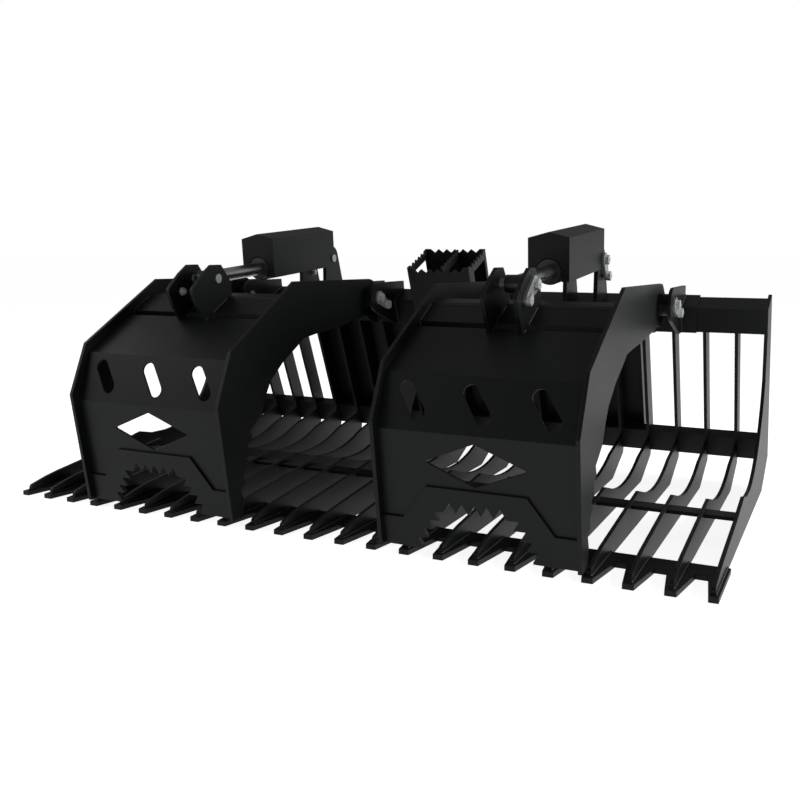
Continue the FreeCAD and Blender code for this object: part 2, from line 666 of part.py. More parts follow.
def step():
    """Serrated step on the middle of the beam."""
    plate = size("step_plate")
    skin = size("doubler_thickness")
    top = size("step_height")
    seat = size("beam_size") + skin
    half = size("step_half_width")
    tooth = size("step_tooth")
    front = -skin
    back = front + size("step_depth") - plate
    count = int(size("step_teeth"))
    heel = top - size("step_back_edge")
    saw = saw_points(lean(back, top), lean(front, top), count, tooth)[:-1]
    middle = (top + seat) / 2
    window = [lean(front + 3 * plate, seat + 2 * plate), lean(back - 4 * plate, middle + plate),
              lean(front + 3 * plate, middle + 2 * plate)]
    side = [lean(front, seat), lean(size("beam_size"), seat), lean(back, heel), lean(back, top)]
    side = side + saw + [lean(front, top)]
    sides = [across_piece("step_side_left", [side, window], "Sizes.step_plate",
                          "-Sizes.step_half_width"),
             across_piece("step_side_right", [side, window], "Sizes.step_plate",
                          "Sizes.step_half_width - Sizes.step_plate")]
    sides.append(across_piece("step_divider", [side, window], "Sizes.step_plate",
                              "Sizes.step_divider_set - Sizes.step_plate / 2"))
    node("step_sides", sides)
    saw = saw_points(spot(half, top), spot(-half, top), count, tooth)[:-1]
    face = [spot(-half, 0), spot(half, 0), spot(half, top)] + saw + [spot(-half, top)]
    front_plate = panel_piece("step_front", [face], "Sizes.step_plate",
                              lean(front, 0), LEAN + QUARTER_TURN)
    rise = size("step_back_edge")
    saw = saw_points(spot(half, rise), spot(-half, rise), count, tooth)[:-1]
    face = [spot(-half, 0), spot(half, 0), spot(half, rise)] + saw + [spot(-half, rise)]
    rear_plate = panel_piece("step_rear", [face], "Sizes.step_plate",
                             lean(back + plate, heel), LEAN + QUARTER_TURN)
    node("step_plates", [front_plate, rear_plate])


def side_outline():
    """Lid side plate: top edge, round heel about the hinge, arch, toothed leg and front edges."""
    heel = size("heel_round_radius")
    leg = saw_points(point("leg_top"), point("leg_low"), size("leg_teeth"), -size("leg_tooth_depth"))
    return [
        point("lid_apex"), point("lid_top_rear"), point("lid_shoulder"), point("lid_tail"),
        HINGE + turned_by(size("heel_start")) * heel,
        ("via", HINGE + turned_by(size("heel_middle")) * heel),
        HINGE + turned_by(size("heel_end")) * heel, point("lid_neck"), point("lid_throat"),
        point("arch_rear"), point("arch_top"), point("arch_bend"), point("arch_fall"),
        point("arch_front"), point("arch_side"), point("arch_low"), point("arch_foot"),
        point("leg_top")] + leg + [
        point("leg_heel"), point("lid_toe"), point("lid_nose"), point("lid_brow"),
    ]


PANEL_RUN = turned_by(size("panel_slope"))
PANEL_IN = turned_by(size("panel_slope") - QUARTER_TURN)
INNER_SPAN = "2 * (Sizes.lid_outer_half - Sizes.side_thickness)"


def skin_outline():
    """Bent front sheet of a lid, from its upper end over both bends to its foot."""
    brow = point("skin_brow")
    nose = point("skin_nose")
    foot = point("skin_foot")
    upper = brow + PANEL_RUN * size("upper_panel_length")
    thick = size("skin_thickness")
    outer = [upper, brow, nose, foot]
    runs = [(outer[i + 1] - outer[i]).normalize() for i in range(3)]
    normals = [spot(-run.y, run.x) for run in runs]
    inner = [outer[0] + normals[0] * thick]
    for index in (1, 2):
        bisector = (normals[index - 1] + normals[index]).normalize()
        inner.append(outer[index] + bisector * (thick / bisector.dot(normals[index])))
    inner.append(outer[3] + normals[2] * thick)
    return outer + inner[::-1]


def tilt_of(low, high):
    run = high - low
    return math.degrees(math.atan2(run.y, run.x))


def skin_openings(name, side):
    """Tools for the three slanted windows, the diamond and the bite behind the wear plate."""
    brow = point("skin_brow")
    nose = point("skin_nose")
    foot = point("skin_foot")
    centre = f"{side} * Sizes.lid_centre"
    half = size("window_width") / 2
    straight = size("window_length") / 2 - half
    slant = size("window_slant") + QUARTER_TURN
    tools = []
    depth = size("skin_thickness") * 2
    tilt = tilt_of(nose, brow)
    back = turned_by(tilt - QUARTER_TURN) * (depth * 1.5)
    face_height = (brow - nose).Length
    for number in (-1, 0, 1):
        middle = spot(number * size("window_pitch"), face_height - size("window_drop"))
        tools.append(panel_piece(f"{name}_window_{number + 2}", [oblong(middle, slant, straight, half)],
                                 "4 * Sizes.skin_thickness", nose + back, tilt, x_rule=centre))
    tilt = tilt_of(foot, nose)
    back = turned_by(tilt - QUARTER_TURN) * (depth * 1.5)
    height = (nose - foot).Length
    wide = size("diamond_half_width")
    tall = size("diamond_half_height")
    level = height - size("diamond_drop")
    soft = size("diamond_round")
    diamond = [(spot(wide, level), soft), (spot(0, level + tall), soft), (spot(-wide, level), soft),
               (spot(0, level - tall), soft)]
    tools.append(panel_piece(f"{name}_diamond", [diamond], "4 * Sizes.skin_thickness", foot + back,
                             tilt, x_rule=centre))
    bite = bite_outline(height, -size("skin_thickness"))
    tools.append(panel_piece(f"{name}_bite", [bite], "4 * Sizes.skin_thickness", foot + back,
                             tilt, x_rule=centre))
    return tools


def oblong(middle, heading, straight, radius):
    """Slot outline with round ends, about its middle and along its heading."""
    along = turned_by(heading)
    across = turned_by(heading - QUARTER_TURN) * radius
    top = middle + along * straight
    low = middle - along * straight
    return [low + across, top + across, ("via", top + along * radius), top - across, low - across,
            ("via", low - along * radius)]


def bite_outline(height, foot):
    """Saw-toothed mouth, open at the foot: teeth along its top and hooked steps down its cheeks."""
    tip = height - size("bite_tip_drop")
    root = tip - size("bite_depth")
    count = int(size("bite_teeth"))
    pitch = size("bite_pitch")
    middle = size("bite_set")
    top = []
    for tooth in range(count):
        place = middle + (tooth - (count - 1) / 2) * pitch
        top.extend([spot(place - pitch / 2, root), spot(place, tip)])
    top.append(spot(middle + count * pitch / 2, root))
    cheek = []
    for tooth in range(int(size("cheek_teeth"))):
        across = size("bite_cheek") + tooth * size("bite_step_across")
        level = root - tooth * size("bite_step_down")
        cheek.append(spot(across, level))
        cheek.append(spot(across - size("bite_hook"), level - size("bite_step_down")))
    right = [top[-1] + spot(place.x, place.y - root) for place in cheek]
    left = [top[0] + spot(-place.x, place.y - root) for place in cheek]
    low = spot(right[-1].x, foot)
    return [spot(left[-1].x, foot)] + left[::-1] + top + right + [low]


def wear_outline(height):
    """Stepped wear plate round the saw-toothed mouth."""
    half = size("lid_outer_half") - size("side_thickness")
    shoulder = size("wear_shoulder_half")
    crest = size("wear_crest_half")
    low = height - size("wear_shoulder_drop")
    high = height - size("wear_crest_drop")
    bite = bite_outline(height, 0)
    mouth = bite[::-1]
    return [spot(half, 0), spot(half, low), spot(shoulder, low), spot(crest, high),
            spot(-crest, high), spot(-shoulder, low), spot(-half, low), spot(-half, 0)] + mouth[::-1]


def clevis_outline():
    brow = point("skin_brow")
    tube_top = brow + PANEL_RUN * (size("tube_offset") + size("cross_tube_size"))
    front = point("clevis_foot")
    foot = brow + PANEL_RUN * (front - brow).dot(PANEL_RUN)
    return [point("clevis_top_front"), point("clevis_top_rear"), point("clevis_rear"),
            point("clevis_rear_foot"), tube_top, foot, point("clevis_chin"),
            (point("clevis_nose"), size("flag_tail_radius")), point("clevis_front")]


def lid(name, side):
    """One lid: side plates with hubs, skin, wear plate, cross tube, clevis and rod pin."""
    centre = f"({side} * Sizes.lid_centre)"
    middle = f"({side} * Sizes.cylinder_centre)"
    plates = []
    hubs = []
    hub_hole = [(HINGE, "Sizes.hub_radius")]
    for place, way in (("out", side), ("in", -side)):
        face = offset(centre, way, "Sizes.lid_outer_half")
        start, length = span(way, offset(face, way, "-Sizes.side_thickness"), face)
        plates.append(across_piece(f"side_plate_{name}_{place}", [side_outline()], length, start,
                                   hub_hole))
        start, length = span(
            way,
            offset(face, way, "Sizes.ear_thickness - Sizes.side_thickness - Sizes.near_ear_reach"
                              " + Sizes.side_play"),
            offset(face, way, "Sizes.far_ear_reach - Sizes.ear_thickness - Sizes.side_play"))
        hubs.append(across_piece(f"hub_{name}_{place}", [], length, start,
                                 [(HINGE, "Sizes.hub_radius"), (HINGE, PIN_HOLE)]))
    node("side_plates_" + name, plates)
    node("hinge_hubs_" + name, hubs)
    inner_start = f"({centre} - Sizes.lid_outer_half + Sizes.side_thickness)"
    sheet_body = across_piece("skin_sheet_" + name, [skin_outline()], INNER_SPAN, inner_start)
    node("lid_skin_" + name, [cut_away("lid_skin_" + name, sheet_body, skin_openings(name, side))])
    foot = point("skin_foot")
    nose = point("skin_nose")
    wear = panel_piece("wear_sheet_" + name, [wear_outline((nose - foot).Length)],
                       "Sizes.wear_thickness", foot, tilt_of(foot, nose), x_rule=centre)
    node("wear_plate_" + name, [wear])
    corner = point("skin_brow") + PANEL_RUN * size("tube_offset")
    tube_size = size("cross_tube_size")
    wall = size("cross_tube_wall")
    outer = slot_box(corner, PANEL_RUN * tube_size, PANEL_IN * tube_size, 0)
    inner = slot_box(corner, PANEL_RUN * tube_size, PANEL_IN * tube_size, -wall)
    tube = across_piece("lid_tube_" + name, [outer, inner], INNER_SPAN, inner_start)
    node("cross_tube_" + name, [tube])
    ears = []
    bolt_centre = ROD_PIN + ROD_ARM
    for place, way in (("out", side), ("in", -side)):
        start, length = span(way, offset(middle, way, "Sizes.clevis_half - Sizes.clevis_thickness"),
                             offset(middle, way, "Sizes.clevis_half"))
        holes = [(ROD_PIN, PIN_HOLE)]
        if place == "out":
            holes.append((bolt_centre, BOLT_HOLE))
        ears.append(across_piece(f"clevis_{name}_{place}", [clevis_outline()], length, start, holes))
    node("clevis_ears_" + name, ears)
    flag_far = "Sizes.clevis_half + Sizes.flag_thickness"
    start, length = span(side, offset(middle, side, "-Sizes.clevis_half - Sizes.pin_end"),
                         offset(middle, side, flag_far + " + Sizes.pin_end"))
    pin = across_piece("rod_pin_bar_" + name, [], length, start, [(ROD_PIN, "Sizes.pin_radius")])
    node("rod_pin_" + name, [pin])
    start, length = span(side, offset(middle, side, "Sizes.clevis_half"),
                         offset(middle, side, flag_far))
    flag = across_piece("rod_flag_plate_" + name, [flag_outline(ROD_PIN, ROD_ARM)], length, start,
                        [(ROD_PIN, PIN_HOLE), (bolt_centre, BOLT_HOLE)])
    fixing = flag_bolt("rod_bolt_" + name, bolt_centre, side, middle,
                       "Sizes.clevis_half - Sizes.clevis_thickness", flag_far)
    node("rod_flag_" + name, [flag, fixing])


def axis_piece(name, side, start, length, outer, inner=None, outlines=()):
    """Round or drawn piece along a cylinder, from a distance in front of its base pin."""
    circles = []
    if outer:
        circles.append((spot(0, 0), outer))
    if inner:
        circles.append((spot(0, 0), inner))
    return panel_piece(name, list(outlines), length, BASE_PIN + ROD_LINE * start, CYLINDER_TURN,
                       circles, f"{side} * Sizes.cylinder_centre")


def cross_round(name, side, centre, radius_rule, half_length_rule):
    """Round bar across a cylinder's own middle, about a pin's centre."""
    start = f"{side} * Sizes.cylinder_centre - ({half_length_rule})"
    return across_piece(name, [], f"2 * ({half_length_rule})", start, [(centre, radius_rule)])


def cylinder(name, side):
    """Hydraulic cylinder of one lid: barrel group on the base pin, rod group on the rod pin."""
    cap_start = size("cap_start")
    cap_end = size("cap_end")
    end = size("barrel_end")
    barrel = axis_piece("barrel_tube_" + name, side, cap_end, "Sizes.barrel_end - Sizes.cap_end",
                        "Sizes.barrel_radius", "Sizes.bore_radius")
    node("barrel_" + name, [barrel])
    eye = cross_round("base_eye_round_" + name, side, BASE_PIN, "Sizes.eye_radius",
                      "Sizes.base_half - Sizes.base_thickness - Sizes.side_play")
    cap = axis_piece("base_cap_" + name, side, cap_start, "Sizes.cap_end - Sizes.cap_start",
                     "Sizes.barrel_radius")
    bore = cross_round("base_eye_bore_" + name, side, BASE_PIN, PIN_HOLE, "Sizes.base_half")
    eye_block = cut_away("base_eye_" + name, join("base_eye_" + name, [eye, cap]), [bore])
    node("base_eye_" + name, [eye_block])
    lip = axis_piece("gland_lip_" + name, side, end, "Sizes.gland_lip", "Sizes.gland_lip_radius",
                     "Sizes.rod_radius + Sizes.running_fit")
    plug = axis_piece("gland_plug_" + name, side, end - size("gland_length"), "Sizes.gland_length",
                      "Sizes.bore_radius", "Sizes.rod_radius + Sizes.running_fit")
    node("gland_" + name, [join("gland_" + name, [lip, plug])])
    tail = size("rod_tail")
    piston = axis_piece("piston_disc_" + name, side, tail, "Sizes.piston_length",
                        "Sizes.bore_radius - Sizes.running_fit", "Sizes.rod_radius")
    node("piston_" + name, [piston])
    rod_body, plane = new_body("rod_bar_" + name, "XY_Plane")
    sketch = draw(rod_body, plane, "rod_bar_" + name, [], [(spot(0, 0), "Sizes.rod_radius")])
    pad(rod_body, sketch, PIN_DISTANCE + " - Sizes.rod_tail")
    start = BASE_PIN + ROD_LINE * tail
    base = FreeCAD.Vector(0, start.x + DEPTH_SHIFT, start.y)
    rod_body.Placement = FreeCAD.Placement(base, FreeCAD.Rotation(X_AXIS, CYLINDER_TURN))
    rod_body.setExpression(".Placement.Base.x", f"{side} * Sizes.cylinder_centre")
    saddle = cross_round("rod_saddle_" + name, side, ROD_PIN, "Sizes.eye_radius", "Sizes.base_half")
    node("rod_" + name, [cut_away("rod_" + name, rod_body, [saddle])])
    half = "(Sizes.clevis_half - Sizes.clevis_thickness - Sizes.side_play)"
    rod_eye = across_piece("rod_eye_ring_" + name, [], f"2 * {half}",
                           f"{side} * Sizes.cylinder_centre - {half}",
                           [(ROD_PIN, "Sizes.eye_radius"), (ROD_PIN, PIN_HOLE + " + Sizes.eye_play")])
    node("rod_eye_" + name, [rod_eye])


def cover_section(half, eave, ridge, skirt):
    """Gabled section of a cylinder cover, seen along the cylinder."""
    return [spot(half, -skirt), spot(half, eave), spot(0, eave + ridge), spot(-half, eave),
            spot(-half, -skirt)]


def cover(name, side):
    """Folded cover over a cylinder and its front plate."""
    half = size("cover_half")
    wall = size("cover_wall")
    eave = size("cover_eave")
    ridge = size("cover_ridge")
    skirt = size("cover_skirt")
    outer = cover_section(half, eave, ridge, skirt)
    inner = cover_section(half - wall, eave - wall, ridge, skirt)
    shell = axis_piece("cover_shell_" + name, side, -size("cover_back"),
                       "Sizes.cover_length + Sizes.cover_back", None,
                       outlines=[outer + inner[::-1]])
    hole = cross_round("cover_hole_" + name, side, BASE_PIN, PIN_HOLE + " + Sizes.bolt_play",
                       "Sizes.cover_half * 2")
    node("cover_" + name, [cut_away("cover_" + name, shell, [hole])])
    opening = size("barrel_radius") + size("bolt_play")
    front = cover_section(half, eave, ridge, skirt)
    notch = [spot(-opening, -skirt), spot(-opening, 0), ("via", spot(0, opening)), spot(opening, 0),
             spot(opening, -skirt)]
    plate = axis_piece("cover_face_" + name, side, size("cover_length"), "Sizes.cover_wall", None,
                       outlines=[front + notch])
    node("cover_front_" + name, [plate])


def check_document():
    """Stop on any failed object or any empty or invalid sub-part."""
    for item in doc.Objects:
        if "Invalid" in item.State or "Error" in item.State:
            raise RuntimeError(f"{item.Name} failed: {item.State}")
    for name, item in NODES.items():
        if item.Shape.isNull() or not item.Shape.isValid():
            raise RuntimeError(f"{name} has no valid shape")


comb_plate()
tines()
end_tines()
bars_and_beam()
pin_flags, flag_bolts = hinges()
base_mounts(pin_flags, flag_bolts)
quick_attach()
step()
for lid_name, lid_side in SIDES:
    lid(lid_name, lid_side)
    cylinder(lid_name, lid_side)
    cover(lid_name, lid_side)
doc.recompute()
check_document()
os.makedirs("parts", exist_ok=True)
for node_name, group in NODES.items():
    group.Shape.exportStep(f"parts/{node_name}.step")
print(len(NODES), "nodes written")
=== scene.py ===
# Grapple bucket with two lids, dressed in satin black paint, zinc fixings and weld beads
import math

import bmesh
import bpy
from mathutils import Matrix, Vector


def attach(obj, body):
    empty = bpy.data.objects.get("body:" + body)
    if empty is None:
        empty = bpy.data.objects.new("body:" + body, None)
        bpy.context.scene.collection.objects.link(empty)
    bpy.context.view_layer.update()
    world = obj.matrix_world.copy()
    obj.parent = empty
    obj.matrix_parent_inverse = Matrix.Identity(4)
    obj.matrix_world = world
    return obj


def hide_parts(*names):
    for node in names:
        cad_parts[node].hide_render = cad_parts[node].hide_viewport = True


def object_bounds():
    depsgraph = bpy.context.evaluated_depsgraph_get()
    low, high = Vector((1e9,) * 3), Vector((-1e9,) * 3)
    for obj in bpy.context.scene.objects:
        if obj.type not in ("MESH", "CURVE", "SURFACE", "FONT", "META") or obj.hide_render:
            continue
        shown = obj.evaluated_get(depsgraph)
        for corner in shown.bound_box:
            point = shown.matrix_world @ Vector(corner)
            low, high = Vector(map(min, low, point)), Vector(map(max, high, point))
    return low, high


bl_info = {
    "name": "Grapple Bucket",
    "version": (1, 0, 0),
    "blender": (4, 5, 0),
    "location": "View3D > Sidebar > Grapple",
    "description": "Paint, fixings, weld beads and studio for a two-lid grapple bucket",
    "category": "Object",
}

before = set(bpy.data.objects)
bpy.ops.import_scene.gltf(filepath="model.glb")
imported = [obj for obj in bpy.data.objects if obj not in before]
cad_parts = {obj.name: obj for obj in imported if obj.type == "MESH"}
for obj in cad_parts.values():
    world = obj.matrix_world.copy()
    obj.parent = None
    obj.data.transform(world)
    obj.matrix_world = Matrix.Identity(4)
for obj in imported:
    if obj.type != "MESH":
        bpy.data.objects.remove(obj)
CAD_LOW, CAD_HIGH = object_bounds()

SIDES = ((-1, "left"), (1, "right"))

# Nodes by finish; all others are painted black
FINISHED_NODES = {
    "zinc_plate": ("hinge_pins", "base_pins", "pin_flags", "flag_bolts", "rod_pin_left",
                   "rod_pin_right", "rod_flag_left", "rod_flag_right"),
    "chrome_rod": ("rod_left", "rod_right"),
    "bare_steel": ("piston_left", "piston_right", "base_eye_left", "base_eye_right"),
    "blackened_steel": ("gland_left", "gland_right"),
}

# Metallic share, roughness from and to, grain as (fineness, drift, strength), specular level, dust
SURFACES = {
    "black_paint": (0.0, (0.34, 0.46), (900.0, 2.5, 0.25), 0.22, 0.05),
    "zinc_plate": (0.45, (0.28, 0.44), (700.0, 40.0, 0.15), 0.5, 0.0),
    "zinc_plus_painted_highlight": (0.25, (0.30, 0.42), (700.0, 40.0, 0.15), 0.5, 0.0),
    "chrome_rod": (1.0, (0.20, 0.28), (1200.0, 12.0, 0.05), 0.5, 0.0),
    "bare_steel": (1.0, (0.34, 0.5), (800.0, 30.0, 0.15), 0.5, 0.2),
    "blackened_steel": (0.0, (0.26, 0.36), (1100.0, 18.0, 0.10), 0.5, 0.0),
}
# Zinc of the added nuts and bolt heads: lighter than the flags' zinc, partly as a brighter plating
# and partly as a painted highlight for the light the heads catch from the right
ZINC_PLUS_PAINTED_HIGHLIGHT, RUBBED_ZINC_PLUS_HIGHLIGHT = (0.90, 0.91, 0.92), (0.95, 0.95, 0.95)
BLACKENED, RUBBED_BLACKENED = (0.020, 0.019, 0.019), (0.10, 0.10, 0.10)
RUBBED_ZINC, RUBBED_CHROME, RUBBED_STEEL = (0.88, 0.89, 0.90), (0.8, 0.8, 0.8), (0.6, 0.6, 0.6)
DUST_COLOUR = (0.16, 0.15, 0.14)
TONE_DRIFT, GRAIN_HEIGHT = 0.2, 0.0004
WEAR_PATCHINESS, WEAR_GAIN = 35.0, 6.0
PATCH_FROM, PATCH_TO = 0.35, 0.65

# Drawing coordinates: millimetres, with depth counted from the comb's front edge
DEPTH_SHIFT = -561.977
BACK_CORNER = (880.0, 482.0)
BACK_SLOPE = math.radians(22.5)
PANEL_SLOPE = math.radians(28.8)
SKIN_FOOT, SKIN_NOSE, SKIN_BROW = (-0.3, 27.5), (-46.4, 312.6), (-2.6, 440.5)
SKIN_BACK, SEAM_FOOT_RISE, SEAM_BROW_DROP = 6.5, 12.0, 3.0
LID_CENTRE = 459.0
LID_INNER_HALF = 237.5
CLEVIS_INNER, CLEVIS_OUTER, ROD_FLAG_FACE = 35.5, 45.0, 52.5
CLEVIS_FACES = (-CLEVIS_OUTER, -CLEVIS_INNER, CLEVIS_INNER, CLEVIS_OUTER)
CLEVIS_FOOT = 176.0
TUBE_START, TUBE_SIZE = 214.5, 76.2
PANEL_END = 191.0
DOUBLER = 6.35
BEAM_TOP = TUBE_SIZE + DOUBLER
BEAM_REAR = 76.0
EAR_SEAM = ((-DOUBLER, 2.0), (-DOUBLER, BEAM_TOP), (74.0, BEAM_TOP))
COMB_TOP, COMB_SEAM = 12.7, (15.6, 202.0)
TINE_PITCH, TINE_HALF = 88.9, 4.75
TINE_REACH = 10
TINE_FRONT, TINE_REAR, COUPLER_FACE = 41.8, 101.8, 114.5
END_TINE_FACES = (968.1, 977.6)
MIDDLE_PLATE_START, MIDDLE_PLATE_END = -343.0, 380.0
MIDDLE_PLATE_FOOT, MIDDLE_PLATE_TOP = -400.0, 5.5
HINGE_EAR_FACES = (175.5, 185.0, 247.0, 256.5, 661.5, 671.0, 733.0, 742.5)

# Sides of a washer, a nut, a bolt's end and a bead, and the points along one ripple of a bead
WASHER_SIDES, NUT_SIDES, BOLT_SIDES, BEAD_SIDES, RIPPLE_POINTS = 24, 6, 12, 7, 4

# Bolts in metres: how far an end stands out of its nut, and the radii of bolt and head centre
BOLT_STANDOUT, BOLT_RADIUS, HEAD_CENTRE_RADIUS = 0.0022, 0.005, 0.004

# Step: the widths left round a side's window, and where the divider stands
TOOTHED_BAND, FRONT_POST, REAR_POST = 30.0, 34.0, 10.0
WINDOW_SILL, WINDOW_HEEL = 16.0, 6.0
DIVIDER_PLACE = 12.0

# Flat cap above a lid's cross tube: lap, run, tail and the tail's slope, then its two ends
CAP_LAP, CAP_RUN, CAP_TAIL, CAP_SLOPE = 3.0, 13.0, 38.0, math.radians(12.0)
CAP_EDGE, CAP_ROOT, CAP_FOOT = (1.3, -6.2), 2.0, 16.0

# Slim eye of a cylinder rod, its neck as (run, radius) points from the pin, and their fineness
EYE_OUTER, EYE_BORE, EYE_HALF, EYE_SOFTENING = 21.6, 19.4, 20.5, 0.8
NECK = ((20.2, 9.0), (20.2, 16.5), (30.0, 18.4), (34.0, 18.4), (34.0, 9.0))
TURNING_SIDES = 48

# Softened edge of the plates cut here, and the distance at which their corners are merged
PLATE_SOFTENING = 0.5
MERGE_DISTANCE = 1e-6

# Depth and level of flag bolts and pins, and where nuts and heads bear: x and the way they face
HINGE_BOLT, ROD_BOLT, BASE_BOLT = (778.0, 543.2), (157.5, 603.3), (864.9, 640.6)
HINGE_PIN, ROD_PIN, BASE_PIN = (730.4, 567.2), (213.5, 638.3), (837.9, 688.6)
FRAME_NUTS = ((HINGE_BOLT, 733.0, -1), (HINGE_BOLT, 185.0, 1), (BASE_BOLT, 499.0, -1))
FRAME_HEADS = ((HINGE_BOLT, 750.0, 1), (HINGE_BOLT, 168.0, -1), (BASE_BOLT, 523.5, 1),
               (HINGE_PIN, 750.0, 1), (HINGE_PIN, 168.0, -1), (BASE_PIN, 523.5, 1))

# Lamps as place, width and height; floor glow as seen and in gloss; world strengths by direction
KEY_LAMP = ((4.2, 1.2, 1.9), 3.2, 2.4)
FILL_LAMP = ((-3.2, -1.2, 2.2), 4.8, 2.0)
FLOOR_GLOW, FLOOR_GLOSS_GLOW = 0.88, 0.6
FLOOR_REACH, FLOOR_GAP = 60.0, 0.0005
WALL_RANGE, WALL_FRONT, WALL_BEHIND = (-0.2, 0.6), 0.10, 0.20
FADE_RANGE = (0.10, 0.50)
SENSOR_WIDTH, CLIP_END = 36.0, 200.0


def drawn(x, depth, level):
    """Place of a drawing point in the frame, in metres."""
    return Vector((x, depth + DEPTH_SHIFT, level)) / 1000.0


def along(start, angle, run, rise=0.0):
    """Point at a run along a slope and a rise square to it, as depth and level."""
    cos, sin = math.cos(angle), math.sin(angle)
    return (start[0] + run * cos - rise * sin, start[1] + run * sin + rise * cos)


def back(run, rise):
    """Point of the leaning back, from the beam's lower front corner."""
    return along(BACK_CORNER, BACK_SLOPE, run, rise)


def panel(run, rise=0.0):
    """Point of a lid's upper panel, from its brow."""
    return along(SKIN_BROW, PANEL_SLOPE, run, rise)


class StudioSettings(bpy.types.PropertyGroup):
    """Camera, floor and light of the studio."""

    lens: bpy.props.FloatProperty(
        name="Lens", description="Focal length of the camera", default=42.14, min=10.0,
        unit="CAMERA")
    place: bpy.props.FloatVectorProperty(
        name="Camera place", description="Where the camera stands", size=3,
        default=(1.20275, -2.49540, 0.72248), subtype="TRANSLATION", unit="LENGTH")
    heading: bpy.props.FloatProperty(
        name="Heading", description="Turn of the camera round the bucket",
        default=math.radians(26.048), subtype="ANGLE")
    pitch: bpy.props.FloatProperty(
        name="Pitch", description="How far the camera looks down", default=math.radians(9.217),
        subtype="ANGLE")
    floor_colour: bpy.props.FloatVectorProperty(
        name="Floor colour", description="Colour of the studio floor", size=3,
        default=(0.8, 0.8, 0.8), min=0.0, max=1.0, subtype="COLOR")
    sky_light: bpy.props.FloatProperty(
        name="Sky light", description="Strength of the soft light overhead", default=0.14,
        min=0.0)
    key_power: bpy.props.FloatProperty(
        name="Key power", description="Power of the large lamp on the right", default=110.0,
        min=0.0, unit="POWER")
    fill_power: bpy.props.FloatProperty(
        name="Fill power", description="Power of the long lamp on the left", default=46.0,
        min=0.0, unit="POWER")


class StepSettings(bpy.types.PropertyGroup):
    """Sizes of the serrated step on the beam."""

    width: bpy.props.FloatProperty(
        name="Width", description="Width of the step, in millimetres", default=211.4, min=50.0)
    depth: bpy.props.FloatProperty(
        name="Depth", description="Depth of the step, in millimetres", default=150.0, min=50.0)
    top: bpy.props.FloatProperty(
        name="Top", description="Height of the tooth tips above the beam's foot, in millimetres",
        default=198.0, min=100.0)
    plate: bpy.props.FloatProperty(
        name="Plate", description="Plate thickness, in millimetres", default=6.35, min=1.0)
    rear_rise: bpy.props.FloatProperty(
        name="Rear plate", description="Height of the rear plate, in millimetres", default=125.0,
        min=20.0)
    tooth: bpy.props.FloatProperty(
        name="Tooth", description="Depth of the notches between teeth, in millimetres",
        default=12.5, min=1.0)
    end_flat: bpy.props.FloatProperty(
        name="End flat", description="Flat length at both ends of a toothed edge, in millimetres",
        default=19.0, min=0.0)
    side_flat: bpy.props.FloatProperty(
        name="Side flat", description="Flat length at the ends of a side's edge, in millimetres",
        default=12.0, min=0.0)
    front_drop: bpy.props.FloatProperty(
        name="Front drop", description="How much lower the front plate's teeth stand than its "
        "flat ends, in millimetres", default=5.6, min=0.0)
    notches: bpy.props.IntProperty(
        name="Notches", description="Notches across the step", default=6, min=1)
    side_notches: bpy.props.IntProperty(
        name="Side notches", description="Notches along a side", default=5, min=1)


class FixingSettings(bpy.types.PropertyGroup):
    """Sizes of the washers, nuts and heads on the flag bolts and pins."""

    washer_radius: bpy.props.FloatProperty(
        name="Washer radius", description="Outer radius of a washer", default=0.0115, min=0.001,
        unit="LENGTH")
    washer_depth: bpy.props.FloatProperty(
        name="Washer depth", description="Thickness of a washer", default=0.0018, min=0.0002,
        unit="LENGTH")
    nut_radius: bpy.props.FloatProperty(
        name="Nut radius", description="Radius of a nut across its corners", default=0.0096,
        min=0.001, unit="LENGTH")
    nut_depth: bpy.props.FloatProperty(
        name="Nut depth", description="Height of a nut", default=0.008, min=0.001, unit="LENGTH")
    head_radius: bpy.props.FloatProperty(
        name="Head radius", description="Radius of a bolt head across its corners", default=0.0140,
        min=0.001, unit="LENGTH")
    head_depth: bpy.props.FloatProperty(
        name="Head depth", description="Height of a bolt head", default=0.0085, min=0.001,
        unit="LENGTH")


class WeldSettings(bpy.types.PropertyGroup):
    """Size of the weld beads."""

    radius: bpy.props.FloatProperty(
        name="Bead radius", description="Radius of a weld bead", default=0.0034, min=0.0005,
        unit="LENGTH")
    ripple: bpy.props.FloatProperty(
        name="Ripple pitch", description="Distance between ripples", default=0.006, min=0.001,
        unit="LENGTH")
    swell: bpy.props.FloatProperty(
        name="Ripple swell", description="How much the ripples swell the bead", default=0.14,
        min=0.0, max=0.5)


class FinishSettings(bpy.types.PropertyGroup):
    """Colours and grain of the finishes."""

    paint_colour: bpy.props.FloatVectorProperty(
        name="Paint", description="Colour of the satin powder coat", size=3,
        default=(0.0105, 0.0120, 0.0120), min=0.0, max=1.0, subtype="COLOR")
    rubbed_colour: bpy.props.FloatVectorProperty(
        name="Rubbed paint", description="Colour of paint that is rubbed along an edge", size=3,
        default=(0.045, 0.048, 0.049), min=0.0, max=1.0, subtype="COLOR")
    zinc_colour: bpy.props.FloatVectorProperty(
        name="Zinc", description="Colour of the plated pins, flags and bolts", size=3,
        default=(0.50, 0.51, 0.53), min=0.0, max=1.0, subtype="COLOR")
    chrome_colour: bpy.props.FloatVectorProperty(
        name="Chrome", description="Colour of the cylinder rods", size=3,
        default=(0.62, 0.63, 0.64), min=0.0, max=1.0, subtype="COLOR")
    steel_colour: bpy.props.FloatVectorProperty(
        name="Bare steel", description="Colour of machined steel", size=3,
        default=(0.40, 0.41, 0.42), min=0.0, max=1.0, subtype="COLOR")
    edge_radius: bpy.props.FloatProperty(
        name="Edge radius", description="Softened radius of the plate edges", default=0.0016,
        min=0.0, unit="LENGTH")


